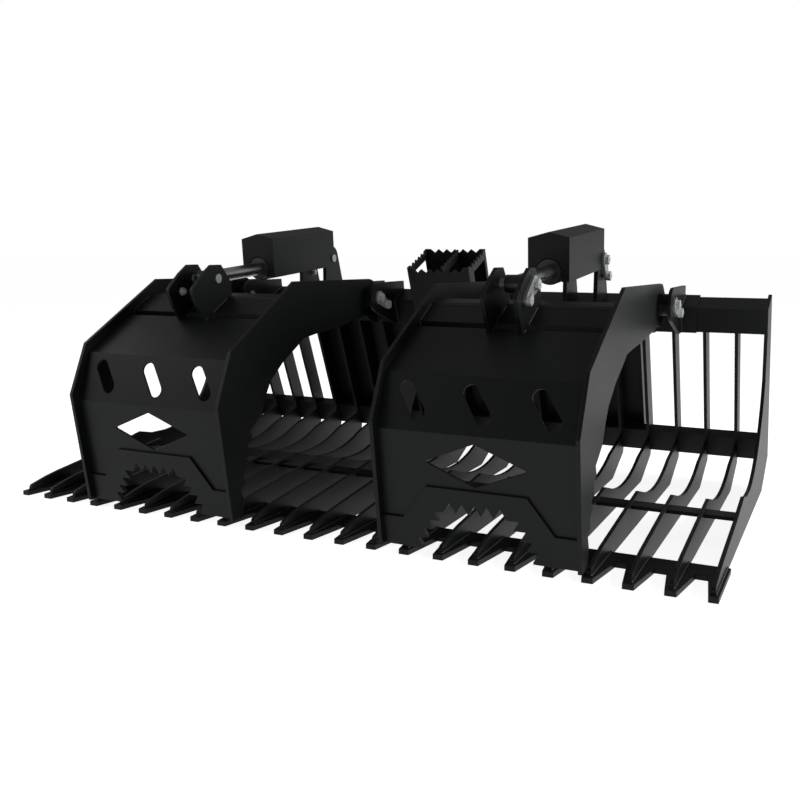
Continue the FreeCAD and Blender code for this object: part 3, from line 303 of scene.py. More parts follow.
def group_input(group, name, default, high=None):
    """Adds a named number of at least 0 to the inputs of a node group."""
    socket = group.interface.new_socket(name=name, in_out="INPUT", socket_type="NodeSocketFloat")
    socket.default_value = default
    socket.min_value = 0.0
    if high is not None:
        socket.max_value = high


def group_output(group, name, kind="NodeSocketFloat"):
    """Adds a named output to a node group."""
    group.interface.new_socket(name=name, in_out="OUTPUT", socket_type=kind)


def add_node(tree, kind, **settings):
    """Adds a node and sets its plain settings."""
    made = tree.nodes.new(kind)
    for name, value in settings.items():
        setattr(made, name, value)
    return made


def math_node(tree, operation, first, second=None, clamp=False):
    """Adds a Math node whose inputs are sockets or numbers, and returns its output."""
    made = add_node(tree, "ShaderNodeMath", operation=operation, use_clamp=clamp)
    for slot, value in zip(made.inputs, (first, second)):
        if value is None:
            continue
        if isinstance(value, (int, float)):
            slot.default_value = value
        else:
            tree.links.new(value, slot)
    return made.outputs[0]


def edge_wear_group():
    """Mask and normal of softened plate edges, where handling rubs the finish."""
    group = bpy.data.node_groups.new("edge_wear", "ShaderNodeTree")
    group_input(group, "Radius", 0.0016)
    group_input(group, "Patchiness", 30.0)
    group_output(group, "Wear")
    group_output(group, "Normal", "NodeSocketVector")
    links = group.links
    inlet = add_node(group, "NodeGroupInput")
    outlet = add_node(group, "NodeGroupOutput")
    bevel = add_node(group, "ShaderNodeBevel", samples=4)
    links.new(inlet.outputs["Radius"], bevel.inputs["Radius"])
    face = add_node(group, "ShaderNodeNewGeometry")
    dot = add_node(group, "ShaderNodeVectorMath", operation="DOT_PRODUCT")
    links.new(bevel.outputs["Normal"], dot.inputs[0])
    links.new(face.outputs["Normal"], dot.inputs[1])
    bend = math_node(group, "SUBTRACT", 1.0, dot.outputs["Value"], clamp=True)
    place = add_node(group, "ShaderNodeTexCoord")
    noise = add_node(group, "ShaderNodeTexNoise")
    noise.inputs["Detail"].default_value = 4.0
    links.new(place.outputs["Object"], noise.inputs["Vector"])
    links.new(inlet.outputs["Patchiness"], noise.inputs["Scale"])
    patch = add_node(group, "ShaderNodeMapRange")
    patch.inputs["From Min"].default_value = PATCH_FROM
    patch.inputs["From Max"].default_value = PATCH_TO
    links.new(noise.outputs["Fac"], patch.inputs["Value"])
    spread = math_node(group, "MULTIPLY", bend, WEAR_GAIN, clamp=True)
    wear = math_node(group, "MULTIPLY", spread, patch.outputs["Result"], clamp=True)
    links.new(wear, outlet.inputs["Wear"])
    links.new(bevel.outputs["Normal"], outlet.inputs["Normal"])
    return group


def grain_group():
    """Fine height of a sprayed or plated skin, with a slow drift in tone."""
    group = bpy.data.node_groups.new("grain", "ShaderNodeTree")
    group_input(group, "Fineness", 600.0)
    group_input(group, "Drift", 3.0)
    group_output(group, "Height")
    group_output(group, "Tone")
    links = group.links
    inlet = add_node(group, "NodeGroupInput")
    outlet = add_node(group, "NodeGroupOutput")
    place = add_node(group, "ShaderNodeTexCoord")
    fine = add_node(group, "ShaderNodeTexNoise")
    fine.inputs["Detail"].default_value = 2.0
    slow = add_node(group, "ShaderNodeTexNoise")
    slow.inputs["Detail"].default_value = 3.0
    for noise, knob in ((fine, "Fineness"), (slow, "Drift")):
        links.new(place.outputs["Object"], noise.inputs["Vector"])
        links.new(inlet.outputs[knob], noise.inputs["Scale"])
    links.new(fine.outputs["Fac"], outlet.inputs["Height"])
    links.new(slow.outputs["Fac"], outlet.inputs["Tone"])
    return group


def dust_group():
    """Mask of the thin dust that settles on surfaces that face up."""
    group = bpy.data.node_groups.new("dust", "ShaderNodeTree")
    group_input(group, "Amount", 0.1, high=1.0)
    group_output(group, "Dust")
    links = group.links
    inlet = add_node(group, "NodeGroupInput")
    outlet = add_node(group, "NodeGroupOutput")
    face = add_node(group, "ShaderNodeNewGeometry")
    split = add_node(group, "ShaderNodeSeparateXYZ")
    links.new(face.outputs["Normal"], split.inputs[0])
    place = add_node(group, "ShaderNodeTexCoord")
    noise = add_node(group, "ShaderNodeTexNoise")
    noise.inputs["Scale"].default_value = 9.0
    noise.inputs["Detail"].default_value = 5.0
    links.new(place.outputs["Object"], noise.inputs["Vector"])
    up = math_node(group, "MAXIMUM", split.outputs["Z"], 0.0)
    patchy = math_node(group, "MULTIPLY", up, noise.outputs["Fac"])
    dust = math_node(group, "MULTIPLY", patchy, inlet.outputs["Amount"], clamp=True)
    links.new(dust, outlet.inputs["Dust"])
    return group


def place_group(tree, group, **values):
    """Places a shader group in a material with its own values."""
    made = add_node(tree, "ShaderNodeGroup", node_tree=group)
    for name, value in values.items():
        made.inputs[name].default_value = value
    return made


def blend_colour(tree, mask, first, second):
    """Mixes two colours by a mask; each is a socket or a colour."""
    mix = add_node(tree, "ShaderNodeMix", data_type="RGBA")
    tree.links.new(mask, mix.inputs["Factor"])
    for slot, value in ((mix.inputs[6], first), (mix.inputs[7], second)):
        if hasattr(value, "links"):
            tree.links.new(value, slot)
        else:
            slot.default_value = (*value, 1.0)
    return mix.outputs[2]


def finish_material(name, groups, colour, rubbed):
    """One finish: a coloured skin with rubbed edges, grain, drift in tone and dust."""
    metallic, rough, grain, level, dust = SURFACES[name]
    wear_tree, grain_tree, dust_tree = groups
    material = bpy.data.materials.new(name)
    material.use_nodes = True
    tree = material.node_tree
    links = tree.links
    shader = tree.nodes["Principled BSDF"]
    finish = bpy.context.scene.bucket_finish
    wear = place_group(tree, wear_tree, Radius=finish.edge_radius,
                       Patchiness=WEAR_PATCHINESS)
    skin = place_group(tree, grain_tree, Fineness=grain[0], Drift=grain[1])
    darker = tuple(c * (1.0 - TONE_DRIFT) for c in colour)
    lighter = tuple(min(1.0, c * (1.0 + TONE_DRIFT)) for c in colour)
    toned = blend_colour(tree, skin.outputs["Tone"], darker, lighter)
    worn = blend_colour(tree, wear.outputs["Wear"], toned, rubbed)
    if dust:
        settled = place_group(tree, dust_tree, Amount=dust)
        worn = blend_colour(tree, settled.outputs["Dust"], worn, DUST_COLOUR)
    links.new(worn, shader.inputs["Base Color"])
    drift = add_node(tree, "ShaderNodeMapRange")
    drift.inputs["To Min"].default_value = rough[0]
    drift.inputs["To Max"].default_value = rough[1]
    links.new(skin.outputs["Tone"], drift.inputs["Value"])
    links.new(drift.outputs["Result"], shader.inputs["Roughness"])
    bump = add_node(tree, "ShaderNodeBump")
    bump.inputs["Strength"].default_value = grain[2]
    bump.inputs["Distance"].default_value = GRAIN_HEIGHT
    links.new(skin.outputs["Height"], bump.inputs["Height"])
    links.new(wear.outputs["Normal"], bump.inputs["Normal"])
    links.new(bump.outputs["Normal"], shader.inputs["Normal"])
    shader.inputs["Metallic"].default_value = metallic
    shader.inputs["Specular IOR Level"].default_value = level
    return material


def lay_on(thing, material):
    """Gives an object one material in all its slots."""
    thing.data.materials.clear()
    thing.data.materials.append(material)


def carry(thing, body):
    """Puts a finished piece on its body."""
    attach(thing, body)


def paint_and_carry(thing, body):
    """Gives a finished piece the model's black and puts it on its body."""
    lay_on(thing, material_named("black_paint"))
    carry(thing, body)


def material_named(name):
    """A finish made here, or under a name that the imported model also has, the model's own."""
    return bpy.data.materials[name]


def placed_object(name, data):
    """A new object in the scene with this data."""
    made = bpy.data.objects.new(name, data)
    bpy.context.scene.collection.objects.link(made)
    return made


def mesh_object(name, points, edges, faces=()):
    """A mesh object from points, edges and faces."""
    mesh = bpy.data.meshes.new(name)
    mesh.from_pydata([tuple(p) for p in points], edges, faces)
    return placed_object(name, mesh)


def closed_shell(name, points, faces):
    """A mesh object whose doubles are merged and whose faces point outwards."""
    made = mesh_object(name, points, [], faces)
    shell = bmesh.new()
    shell.from_mesh(made.data)
    bmesh.ops.remove_doubles(shell, verts=shell.verts, dist=MERGE_DISTANCE)
    bmesh.ops.recalc_face_normals(shell, faces=shell.faces)
    shell.to_mesh(made.data)
    shell.free()
    return made


def toothed_edge(start, end, notches, flat, depth, drop=0.0):
    """Points of a toothed upper edge with flat ends; the teeth between stand lower by the drop."""
    start, end, down = Vector(start), Vector(end), Vector((0, -1))
    run = (end - start).normalized()
    pitch = ((end - start).length - 2 * flat) / notches
    points = [start]
    for notch in range(notches):
        near = start + run * (flat + notch * pitch)
        valley = near + run * pitch / 2 + down * (depth + drop)
        points += [near + down * drop if notch else near, valley]
    return points + [end - run * flat, end]


def cut_plate(outlines, thickness, corner, across, up):
    """Mesh points and faces of a flat plate with holes, in millimetres of the drawing."""
    curve = bpy.data.curves.new("plate_cut", "CURVE")
    curve.dimensions = "2D"
    curve.fill_mode = "BOTH"
    curve.extrude = thickness / 2 - PLATE_SOFTENING
    curve.bevel_depth = PLATE_SOFTENING
    curve.bevel_resolution = 0
    curve.offset = -PLATE_SOFTENING
    for outline in outlines:
        spline = curve.splines.new("POLY")
        spline.points.add(len(outline) - 1)
        for knot, (u, v) in zip(spline.points, outline):
            knot.co = (u, v, 0.0, 1.0)
        spline.use_cyclic_u = True
    flat = placed_object("plate_cut", curve)
    graph = bpy.context.evaluated_depsgraph_get()
    mesh = bpy.data.meshes.new_from_object(flat.evaluated_get(graph))
    bpy.data.objects.remove(flat)
    bpy.data.curves.remove(curve)
    across, up = Vector(across), Vector(up)
    out = across.cross(up)
    places = [Vector(corner) + across * v.co.x + up * v.co.y + out * (v.co.z + thickness / 2)
              for v in mesh.vertices]
    faces = [tuple(face.vertices) for face in mesh.polygons]
    bpy.data.meshes.remove(mesh)
    return places, faces


def profile_plate(outline, start, end):
    """Mesh points and faces of an outline of depths and levels, carried across the bucket."""
    return cut_plate([outline], end - start, (start, 0.0, 0.0), (0, 1, 0), (0, 0, 1))


def joined_plates(name, plates):
    """One mesh object from several cut plates, closed and with its faces outwards."""
    points, faces = [], []
    for places, plate_faces in plates:
        first = len(points)
        points += [drawn(*p) for p in places]
        faces += [tuple(first + i for i in face) for face in plate_faces]
    return closed_shell(name, points, faces)


class BUCKET_OT_step(bpy.types.Operator):
    """Cut the toothed step from five plates"""

    bl_idname = "bucket.step"
    bl_label = "Cut the step"

    def execute(self, context):
        step = context.scene.bucket_step
        half, plate, top = step.width / 2, step.plate, step.top
        front, rear = -DOUBLER, -DOUBLER + step.depth - plate
        heel = top - step.rear_rise
        way_back = Vector((0.0, math.cos(BACK_SLOPE), math.sin(BACK_SLOPE)))
        way_up = Vector((0.0, -math.sin(BACK_SLOPE), math.cos(BACK_SLOPE)))
        side_way = Vector((1.0, 0.0, 0.0))

        def corner(x, run, rise):
            return Vector((x, *back(run, rise)))

        plates = []
        for rise, drop, place in ((top, step.front_drop, corner(0.0, front, 0.0)),
                                  (step.rear_rise, 0.0, corner(0.0, rear + plate, heel))):
            teeth = toothed_edge((half, rise), (-half, rise), step.notches, step.end_flat,
                                 step.tooth, drop)
            face = [(-half, 0.0), (half, 0.0)] + [tuple(p) for p in teeth]
            plates.append(cut_plate([face], plate, place, side_way, way_up))
        teeth = toothed_edge((rear, top), (front, top), step.side_notches, step.side_flat,
                             step.tooth)
        side = [(front, BEAM_TOP), (TUBE_SIZE, BEAM_TOP), (rear, heel)] + [tuple(p) for p in teeth]
        window = self.window(front, rear, heel, top)
        for x in (-half, half - plate, DIVIDER_PLACE - plate / 2):
            plates.append(cut_plate([side, window], plate, corner(x, 0.0, 0.0), way_back, way_up))
        box = joined_plates("step_box", plates)
        paint_and_carry(box, "frame")
        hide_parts("step_plates", "step_sides")
        return {"FINISHED"}

    def window(self, front, rear, heel, top):
        """Outline of the window in a side of the step."""
        near, far, roof = front + FRONT_POST, rear - REAR_POST, top - TOOTHED_BAND
        sill = BEAM_TOP + WINDOW_SILL
        return [(near, sill), (TUBE_SIZE - WINDOW_HEEL, sill), (far, heel + WINDOW_HEEL),
                (far, roof), (near, roof)]


class BUCKET_OT_tube_caps(bpy.types.Operator):
    """Lay the flat cap along the upper edge of each lid's cross tube"""

    bl_idname = "bucket.tube_caps"
    bl_label = "Lay the tube caps"

    def execute(self, context):
        crest = panel(TUBE_START + TUBE_SIZE)
        lip = along(crest, PANEL_SLOPE, CAP_RUN)
        tail = along(lip, CAP_SLOPE, CAP_TAIL)
        outline = [along(crest, PANEL_SLOPE, -CAP_LAP, -CAP_ROOT),
                   along(crest, PANEL_SLOPE, -CAP_LAP), lip, tail,
                   (tail[0] + CAP_EDGE[0], tail[1] + CAP_EDGE[1]),
                   along(crest, PANEL_SLOPE, 0.0, -CAP_FOOT)]
        for side, name in SIDES:
            start = side * LID_CENTRE - LID_INNER_HALF
            cap = joined_plates("tube_cap_" + name,
                                [profile_plate(outline, start, start + 2 * LID_INNER_HALF)])
            paint_and_carry(cap, "lid_" + name)
        return {"FINISHED"}


class BUCKET_OT_middle_plate(bpy.types.Operator):
    """Close the gap between the two coupler plates with the bare plate that the windows show"""

    bl_idname = "bucket.middle_plate"
    bl_label = "Set the middle plate"

    def execute(self, context):
        outline = [back(TINE_REAR, MIDDLE_PLATE_FOOT), back(COUPLER_FACE, MIDDLE_PLATE_FOOT),
                   back(COUPLER_FACE, MIDDLE_PLATE_TOP), back(TINE_REAR, MIDDLE_PLATE_TOP)]
        plate = profile_plate(outline, MIDDLE_PLATE_START, MIDDLE_PLATE_END)
        paint_and_carry(joined_plates("middle_plate", [plate]), "frame")
        return {"FINISHED"}


def turned(name, profile, start, axis):
    """Closed ring or bar turned about an axis from (run, radius) points, in millimetres."""
    axis = Vector(axis).normalized()
    across = axis.orthogonal().normalized()
    up = axis.cross(across)
    points, faces = [], []
    for number in range(TURNING_SIDES):
        angle = math.tau * number / TURNING_SIDES
        way = across * math.cos(angle) + up * math.sin(angle)
        points += [drawn(*(Vector(start) + axis * run + way * radius))
                   for run, radius in profile]
    count = len(profile)
    for number in range(TURNING_SIDES):
        near, far = number * count, (number + 1) % TURNING_SIDES * count
        faces += [(near + i, near + (i + 1) % count, far + (i + 1) % count, far + i)
                  for i in range(count)]
    return closed_shell(name, points, faces)


class BUCKET_OT_rod_eyes(bpy.types.Operator):
    """Turn the slim eye and neck at the end of each cylinder rod"""

    bl_idname = "bucket.rod_eyes"
    bl_label = "Turn the rod eyes"

    def execute(self, context):
        rim, edge = EYE_OUTER - EYE_SOFTENING, EYE_HALF - EYE_SOFTENING
        ring = [(-EYE_HALF, EYE_BORE), (-EYE_HALF, rim), (-edge, EYE_OUTER), (edge, EYE_OUTER),
                (EYE_HALF, rim), (EYE_HALF, EYE_BORE)]
        rod_way = (0.0, BASE_PIN[0] - ROD_PIN[0], BASE_PIN[1] - ROD_PIN[1])
        for side, name in SIDES:
            pivot = (side * LID_CENTRE, *ROD_PIN)
            eye = turned("eye_ring_" + name, ring, pivot, (1, 0, 0))
            throat = turned("eye_neck_" + name, NECK, pivot, rod_way)
            for piece in (eye, throat):
                lay_on(piece, material_named("blackened_steel"))
                carry(piece, "rod_" + name)
            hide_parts("rod_eye_" + name)
        return {"FINISHED"}


def geometry_tree(name, inputs):
    """A geometry node tree with named inputs; returns it with its group nodes."""
    tree = bpy.data.node_groups.new(name, "GeometryNodeTree")
    tree.interface.new_socket(name="Geometry", in_out="INPUT", socket_type="NodeSocketGeometry")
    for label, kind in inputs:
        tree.interface.new_socket(name=label, in_out="INPUT", socket_type=kind)
    tree.interface.new_socket(name="Geometry", in_out="OUTPUT", socket_type="NodeSocketGeometry")
    return tree, add_node(tree, "NodeGroupInput"), add_node(tree, "NodeGroupOutput")


def close_tree(tree, inlet, outlet, geometry):
    """Ends a tree in Realize Instances and Set Material."""
    real = add_node(tree, "GeometryNodeRealizeInstances")
    dress = add_node(tree, "GeometryNodeSetMaterial")
    tree.links.new(geometry, real.inputs["Geometry"])
    tree.links.new(real.outputs["Geometry"], dress.inputs["Geometry"])
    tree.links.new(inlet.outputs["Material"], dress.inputs["Material"])
    tree.links.new(dress.outputs["Geometry"], outlet.inputs["Geometry"])


def grown(name, seed, tree, values):
    """Runs a geometry tree on a seed object and returns the result as a plain mesh object."""
    modifier = seed.modifiers.new("grow", "NODES")
    modifier.node_group = tree
    for socket in tree.interface.items_tree:
        if socket.in_out == "INPUT" and socket.name in values:
            modifier[socket.identifier] = values[socket.name]
    graph = bpy.context.evaluated_depsgraph_get()
    mesh = bpy.data.meshes.new_from_object(seed.evaluated_get(graph))
    mesh.name = name
    bpy.data.objects.remove(seed)
    if not mesh.polygons:
        raise RuntimeError(name + " has no faces")
    return placed_object(name, mesh)


def fixing_tree():
    """A washer with a hexagon nut and the bolt's end on it, at every point of the seed."""
    tree, inlet, outlet = geometry_tree("bolt_fixings", (
        ("Washer Radius", "NodeSocketFloat"), ("Washer Depth", "NodeSocketFloat"),
        ("Nut Radius", "NodeSocketFloat"), ("Nut Depth", "NodeSocketFloat"),
        ("Bolt Radius", "NodeSocketFloat"), ("Material", "NodeSocketMaterial")))
    links = tree.links
    join = add_node(tree, "GeometryNodeJoinGeometry")
    washer = inlet.outputs["Washer Depth"]
    bolt_base = math_node(tree, "ADD", washer, BOLT_STANDOUT)
    for sides, radius, depth, base in ((WASHER_SIDES, "Washer Radius", "Washer Depth", 0.0),
                                       (NUT_SIDES, "Nut Radius", "Nut Depth", washer),
                                       (BOLT_SIDES, "Bolt Radius", "Nut Depth", bolt_base)):
        disc = add_node(tree, "GeometryNodeMeshCylinder")
        disc.inputs["Vertices"].default_value = sides
        links.new(inlet.outputs[radius], disc.inputs["Radius"])
        links.new(inlet.outputs[depth], disc.inputs["Depth"])
        half = math_node(tree, "MULTIPLY", inlet.outputs[depth], 0.5)
        place = add_node(tree, "ShaderNodeCombineXYZ")
        links.new(math_node(tree, "ADD", half, base), place.inputs["Z"])
        shift = add_node(tree, "GeometryNodeTransform")
        links.new(disc.outputs["Mesh"], shift.inputs["Geometry"])
        links.new(place.outputs[0], shift.inputs["Translation"])
        links.new(shift.outputs["Geometry"], join.inputs["Geometry"])
    facing = add_node(tree, "GeometryNodeInputNamedAttribute", data_type="FLOAT_VECTOR")
    facing.inputs["Name"].default_value = "facing"
    turn = add_node(tree, "FunctionNodeAlignRotationToVector", axis="Z")
    links.new(facing.outputs["Attribute"], turn.inputs["Vector"])
    spread = add_node(tree, "GeometryNodeInstanceOnPoints")
    links.new(inlet.outputs["Geometry"], spread.inputs["Points"])
    links.new(join.outputs["Geometry"], spread.inputs["Instance"])
    links.new(turn.outputs["Rotation"], spread.inputs["Rotation"])
    close_tree(tree, inlet, outlet, spread.outputs["Instances"])
    return tree


class BUCKET_OT_fixings(bpy.types.Operator):
    """Set washers, nuts and heads on the flag bolts and pins"""

    bl_idname = "bucket.fixings"
    bl_label = "Set the fixings"

    def execute(self, context):
        fixing = context.scene.bucket_fixing
        tree = fixing_tree()
        nut = {"Washer Radius": fixing.washer_radius, "Washer Depth": fixing.washer_depth,
               "Nut Radius": fixing.nut_radius, "Nut Depth": fixing.nut_depth,
               # Nuts and heads get the lighter zinc, which carries a painted highlight for the
               # light from the right
               "Bolt Radius": BOLT_RADIUS, "Material": material_named("zinc_plus_painted_highlight")}
        head = dict(nut)
        head.update({"Washer Radius": fixing.head_radius, "Nut Radius": fixing.head_radius,
                     "Nut Depth": fixing.head_depth, "Bolt Radius": HEAD_CENTRE_RADIUS})
        nuts, heads = ([(bolt, side * x, side * way) for bolt, x, way in rows for side, _ in SIDES]
                       for rows in (FRAME_NUTS, FRAME_HEADS))
        self.spread("flag_nuts_frame", nuts, tree, nut, "frame")
        self.spread("bolt_heads_frame", heads, tree, head, "frame")
        for side, name in SIDES:
            bearing = side * (LID_CENTRE + CLEVIS_INNER)
            seat = side * (LID_CENTRE + ROD_FLAG_FACE)
            self.spread("flag_nuts_lid_" + name, [(ROD_BOLT, bearing, -side)], tree, nut,
                        "lid_" + name)
            self.spread("bolt_heads_lid_" + name,
                        [(bolt, seat, side) for bolt in (ROD_BOLT, ROD_PIN)], tree, head,
                        "lid_" + name)
        return {"FINISHED"}

    def spread(self, name, places, tree, values, body):
        """Fixings at bolt places, each facing along its bolt."""
        seed = mesh_object(name + "_seed", [drawn(x, *bolt) for bolt, x, _ in places], [])
        facing = seed.data.attributes.new("facing", "FLOAT_VECTOR", "POINT")
        for row, (_, _, way) in zip(facing.data, places):
            row.vector = (way, 0.0, 0.0)
        carry(grown(name, seed, tree, values), body)


def bead_tree():
    """A rippled bead swept along every path of the seed."""
    tree, inlet, outlet = geometry_tree("weld_beads", (
        ("Bead Radius", "NodeSocketFloat"), ("Ripple Pitch", "NodeSocketFloat"),
        ("Ripple Swell", "NodeSocketFloat"), ("Material", "NodeSocketMaterial")))
    links = tree.links
    path = add_node(tree, "GeometryNodeMeshToCurve")
    links.new(inlet.outputs["Geometry"], path.inputs["Mesh"])
    even = add_node(tree, "GeometryNodeResampleCurve", mode="LENGTH")
    links.new(path.outputs["Curve"], even.inputs["Curve"])
    links.new(math_node(tree, "DIVIDE", inlet.outputs["Ripple Pitch"], RIPPLE_POINTS),
              even.inputs["Length"])
    measure = add_node(tree, "GeometryNodeSplineParameter")
    turns = math_node(tree, "DIVIDE", measure.outputs["Length"], inlet.outputs["Ripple Pitch"])
    wave = math_node(tree, "SINE", math_node(tree, "MULTIPLY", turns, math.tau))
    swell = math_node(tree, "MULTIPLY", wave, inlet.outputs["Ripple Swell"])
    profile = add_node(tree, "GeometryNodeCurvePrimitiveCircle")
    profile.inputs["Resolution"].default_value = BEAD_SIDES
    links.new(inlet.outputs["Bead Radius"], profile.inputs["Radius"])
    sweep = add_node(tree, "GeometryNodeCurveToMesh")
    sweep.inputs["Fill Caps"].default_value = True
    links.new(even.outputs["Curve"], sweep.inputs["Curve"])
    links.new(profile.outputs["Curve"], sweep.inputs["Profile Curve"])
    links.new(math_node(tree, "ADD", swell, 1.0), sweep.inputs["Scale"])
    smooth = add_node(tree, "GeometryNodeSetShadeSmooth")
    links.new(sweep.outputs["Mesh"], smooth.inputs["Geometry"])
    close_tree(tree, inlet, outlet, smooth.outputs["Geometry"])
    return tree


def frame_seams():
    """Paths of the welds on the comb, tines, beam and hinge ears."""
    paths = []
    comb_front, comb_rear = COMB_SEAM
    for number in range(-TINE_REACH, TINE_REACH + 1):
        left, right = number * TINE_PITCH - TINE_HALF, number * TINE_PITCH + TINE_HALF
        for start, end in (((comb_rear, COMB_TOP), (comb_front, COMB_TOP)),
                           (back(BEAM_REAR, 0.0), back(TINE_FRONT, 0.0))):
            paths.append([drawn(left, *start), drawn(left, *end), drawn(right, *end),
                          drawn(right, *start)])
    for side, _ in SIDES:
        for face in END_TINE_FACES:
            paths.append([drawn(side * face, depth, COMB_TOP) for depth in COMB_SEAM])
        for face in HINGE_EAR_FACES:
            paths.append([drawn(side * face, *back(run, rise)) for run, rise in EAR_SEAM])
    return paths


def lid_seams(side):
    """Paths of the welds inside a lid: skin to side plates, tube ends and clevis ears."""
    paths = []
    centre = side * LID_CENTRE
    inside = [(SKIN_FOOT[0] + SKIN_BACK, SKIN_FOOT[1] + SEAM_FOOT_RISE),
              (SKIN_NOSE[0] + SKIN_BACK, SKIN_NOSE[1]),
              (SKIN_BROW[0] + SKIN_BACK, SKIN_BROW[1] - SEAM_BROW_DROP),
              panel(PANEL_END, -SKIN_BACK)]
    tube = [panel(TUBE_START), panel(TUBE_START + TUBE_SIZE),
            panel(TUBE_START + TUBE_SIZE, -TUBE_SIZE), panel(TUBE_START, -TUBE_SIZE)]
    for way, _ in SIDES:
        x = centre + way * LID_INNER_HALF
        paths.append([drawn(x, *p) for p in inside])
        paths.append([drawn(x, *p) for p in (*tube, tube[0])])
    for offset in CLEVIS_FACES:
        x = centre + offset
        paths.append([drawn(x, *panel(run)) for run in (CLEVIS_FOOT, PANEL_END)])
        paths.append([drawn(x, *panel(run)) for run in (TUBE_START, TUBE_START + TUBE_SIZE)])
    return paths


class BUCKET_OT_welds(bpy.types.Operator):
    """Run weld beads along the seams of the frame and the lids"""

    bl_idname = "bucket.welds"
    bl_label = "Run the weld beads"

    def execute(self, context):
        weld = context.scene.bucket_weld
        tree = bead_tree()
        values = {"Bead Radius": weld.radius, "Ripple Pitch": weld.ripple,
                  "Ripple Swell": weld.swell, "Material": material_named("black_paint")}
        self.run_beads("weld_beads_frame", frame_seams(), tree, values, "frame")
        for side, name in SIDES:
            self.run_beads("weld_beads_lid_" + name, lid_seams(side), tree, values,
                           "lid_" + name)
        return {"FINISHED"}

    def run_beads(self, name, paths, tree, values, body):
        """Beads along several paths, as one piece on a body."""
        points, edges = [], []
        for path in paths:
            first = len(points)
            points += path
            edges += [(first + i, first + i + 1) for i in range(len(path) - 1)]
        seed = mesh_object(name + "_seed", points, edges)
        carry(grown(name, seed, tree, values), body)


class BUCKET_OT_finishes(bpy.types.Operator):
    """Mix the finishes and lay them on the bucket's solids"""

    bl_idname = "bucket.finishes"
    bl_label = "Lay the finishes"

    def execute(self, context):
        finish = context.scene.bucket_finish
        groups = (edge_wear_group(), grain_group(), dust_group())
        finishes = {}
        for name, colour, rubbed in (
                ("black_paint", finish.paint_colour, finish.rubbed_colour),
                ("zinc_plate", finish.zinc_colour, RUBBED_ZINC),
                # The lighter zinc for nuts and heads is partly a painted highlight for the light
                # from the right
                ("zinc_plus_painted_highlight", ZINC_PLUS_PAINTED_HIGHLIGHT, RUBBED_ZINC_PLUS_HIGHLIGHT),
                ("chrome_rod", finish.chrome_colour, RUBBED_CHROME),
                ("bare_steel", finish.steel_colour, RUBBED_STEEL),
                ("blackened_steel", BLACKENED, RUBBED_BLACKENED)):
            finishes[name] = finish_material(name, groups, tuple(colour), tuple(rubbed))
        finish_of = {node: name for name, nodes in FINISHED_NODES.items() for node in nodes}
        for node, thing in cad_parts.items():
            lay_on(thing, finishes[finish_of.get(node, "black_paint")])
        return {"FINISHED"}


def ray_kind(tree, *kinds):
    """1 for rays of these kinds and 0 for the rest."""
    path = add_node(tree, "ShaderNodeLightPath")
    total = path.outputs[kinds[0]]
    for kind in kinds[1:]:
        total = math_node(tree, "MAXIMUM", total, path.outputs[kind])
    return total


def area_lamp(name, target, power, place, width, height):
    """One soft box that looks at a point."""
    data = bpy.data.lights.new(name, "AREA")
    data.shape = "RECTANGLE"
    data.size = width
    data.size_y = height
    data.energy = power
    lamp = placed_object(name, data)
    lamp.location = place
    lamp.rotation_euler = (target - Vector(place)).to_track_quat("-Z", "Y").to_euler()


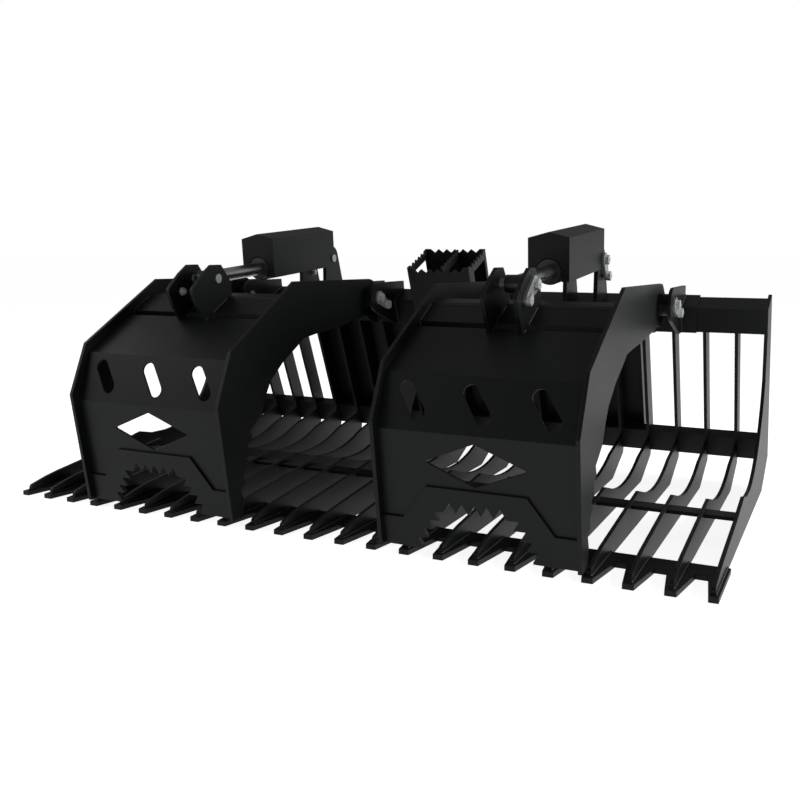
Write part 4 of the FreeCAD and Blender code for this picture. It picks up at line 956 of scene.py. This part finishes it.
class BUCKET_OT_studio(bpy.types.Operator):
    """Build the pale studio: floor, soft lamps, sky and camera"""

    bl_idname = "bucket.studio"
    bl_label = "Build the studio"

    def execute(self, context):
        studio = context.scene.bucket_studio
        self.camera(context, studio)
        self.floor(studio)
        self.sky(context, studio)
        middle = (CAD_LOW + CAD_HIGH) / 2
        area_lamp("key_lamp", middle, studio.key_power, *KEY_LAMP)
        area_lamp("fill_lamp", middle, studio.fill_power, *FILL_LAMP)
        context.scene.view_settings.view_transform = "Standard"
        return {"FINISHED"}

    def camera(self, context, studio):
        """Camera at the photograph's viewing angle."""
        data = bpy.data.cameras.new("studio_camera")
        data.lens = studio.lens
        data.sensor_width = SENSOR_WIDTH
        data.clip_end = CLIP_END
        camera = placed_object("studio_camera", data)
        camera.location = studio.place
        camera.rotation_euler = (math.pi / 2 - studio.pitch, 0.0, studio.heading)
        context.scene.camera = camera

    def floor(self, studio):
        """Pale floor that keeps a faint shadow."""
        level = CAD_LOW.z - FLOOR_GAP
        corners = [(x * FLOOR_REACH, y * FLOOR_REACH, level)
                   for x, y in ((-1, -1), (1, -1), (1, 1), (-1, 1))]
        floor = mesh_object("studio_floor", corners, [], [(0, 1, 2, 3)])
        material = bpy.data.materials.new("studio_floor")
        material.use_nodes = True
        tree = material.node_tree
        shader = tree.nodes["Principled BSDF"]
        shader.inputs["Base Color"].default_value = (*studio.floor_colour, 1.0)
        shader.inputs["Roughness"].default_value = 1.0
        shader.inputs["Specular IOR Level"].default_value = 0.0
        shader.inputs["Emission Color"].default_value = (1.0, 1.0, 1.0, 1.0)
        seen = ray_kind(tree, "Is Camera Ray", "Is Transmission Ray")
        gloss = ray_kind(tree, "Is Glossy Ray")
        glow = math_node(tree, "MAXIMUM", math_node(tree, "MULTIPLY", seen, FLOOR_GLOW),
                         math_node(tree, "MULTIPLY", gloss, FLOOR_GLOSS_GLOW))
        tree.links.new(glow, shader.inputs["Emission Strength"])
        lay_on(floor, material)

    def sky(self, context, studio):
        """White backdrop, whose light is strongest behind and weaker overhead and in front."""
        world = bpy.data.worlds.new("studio_sky")
        context.scene.world = world
        world.use_nodes = True
        tree = world.node_tree
        backdrop = tree.nodes["Background"]
        backdrop.inputs["Color"].default_value = (1.0, 1.0, 1.0, 1.0)
        seen = ray_kind(tree, "Is Camera Ray", "Is Transmission Ray")
        way = add_node(tree, "ShaderNodeTexCoord")
        split = add_node(tree, "ShaderNodeSeparateXYZ")
        tree.links.new(way.outputs["Generated"], split.inputs[0])
        wall = add_node(tree, "ShaderNodeMapRange", interpolation_type="SMOOTHSTEP")
        fade = add_node(tree, "ShaderNodeMapRange", interpolation_type="SMOOTHSTEP")
        for node, values in ((wall, (*WALL_RANGE, WALL_FRONT, WALL_BEHIND)),
                             (fade, (*FADE_RANGE, WALL_FRONT, studio.sky_light))):
            for name, value in zip(("From Min", "From Max", "To Min", "To Max"), values):
                node.inputs[name].default_value = value
        tree.links.new(split.outputs["Y"], wall.inputs["Value"])
        tree.links.new(wall.outputs["Result"], fade.inputs["To Min"])
        tree.links.new(split.outputs["Z"], fade.inputs["Value"])
        level = math_node(tree, "MAXIMUM", seen, fade.outputs["Result"])
        tree.links.new(level, backdrop.inputs["Strength"])


class BUCKET_PT_panel(bpy.types.Panel):
    """Sizes, colours and steps of the grapple bucket"""

    bl_idname = "BUCKET_PT_panel"
    bl_label = "Grapple Bucket"
    bl_space_type = "VIEW_3D"
    bl_region_type = "UI"
    bl_category = "Grapple"

    def draw(self, context):
        layout = self.layout
        for name in SETTINGS:
            settings = getattr(context.scene, name)
            box = layout.box()
            for key in settings.bl_rna.properties.keys():
                if key not in ("rna_type", "name"):
                    box.prop(settings, key)
        for operator in OPERATORS:
            layout.operator(operator.bl_idname)


OPERATORS = (BUCKET_OT_finishes, BUCKET_OT_step, BUCKET_OT_tube_caps, BUCKET_OT_middle_plate,
             BUCKET_OT_rod_eyes, BUCKET_OT_fixings, BUCKET_OT_welds, BUCKET_OT_studio)
SETTINGS = {"bucket_step": StepSettings, "bucket_fixing": FixingSettings,
            "bucket_weld": WeldSettings, "bucket_finish": FinishSettings,
            "bucket_studio": StudioSettings}
CLASSES = (*SETTINGS.values(), *OPERATORS, BUCKET_PT_panel)


def register():
    """Registers the classes and hangs the settings on the scene."""
    for item in CLASSES:
        bpy.utils.register_class(item)
    for name, kind in SETTINGS.items():
        setattr(bpy.types.Scene, name, bpy.props.PointerProperty(type=kind))


def unregister():
    """Takes the settings and the classes away again."""
    for name in SETTINGS:
        delattr(bpy.types.Scene, name)
    for item in reversed(CLASSES):
        bpy.utils.unregister_class(item)


def main():
    """Registers the add-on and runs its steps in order."""
    register()
    bpy.ops.bucket.finishes()
    bpy.ops.bucket.step()
    bpy.ops.bucket.tube_caps()
    bpy.ops.bucket.middle_plate()
    bpy.ops.bucket.rod_eyes()
    bpy.ops.bucket.fixings()
    bpy.ops.bucket.welds()
    bpy.ops.bucket.studio()


if __name__ == "__main__":
    main()
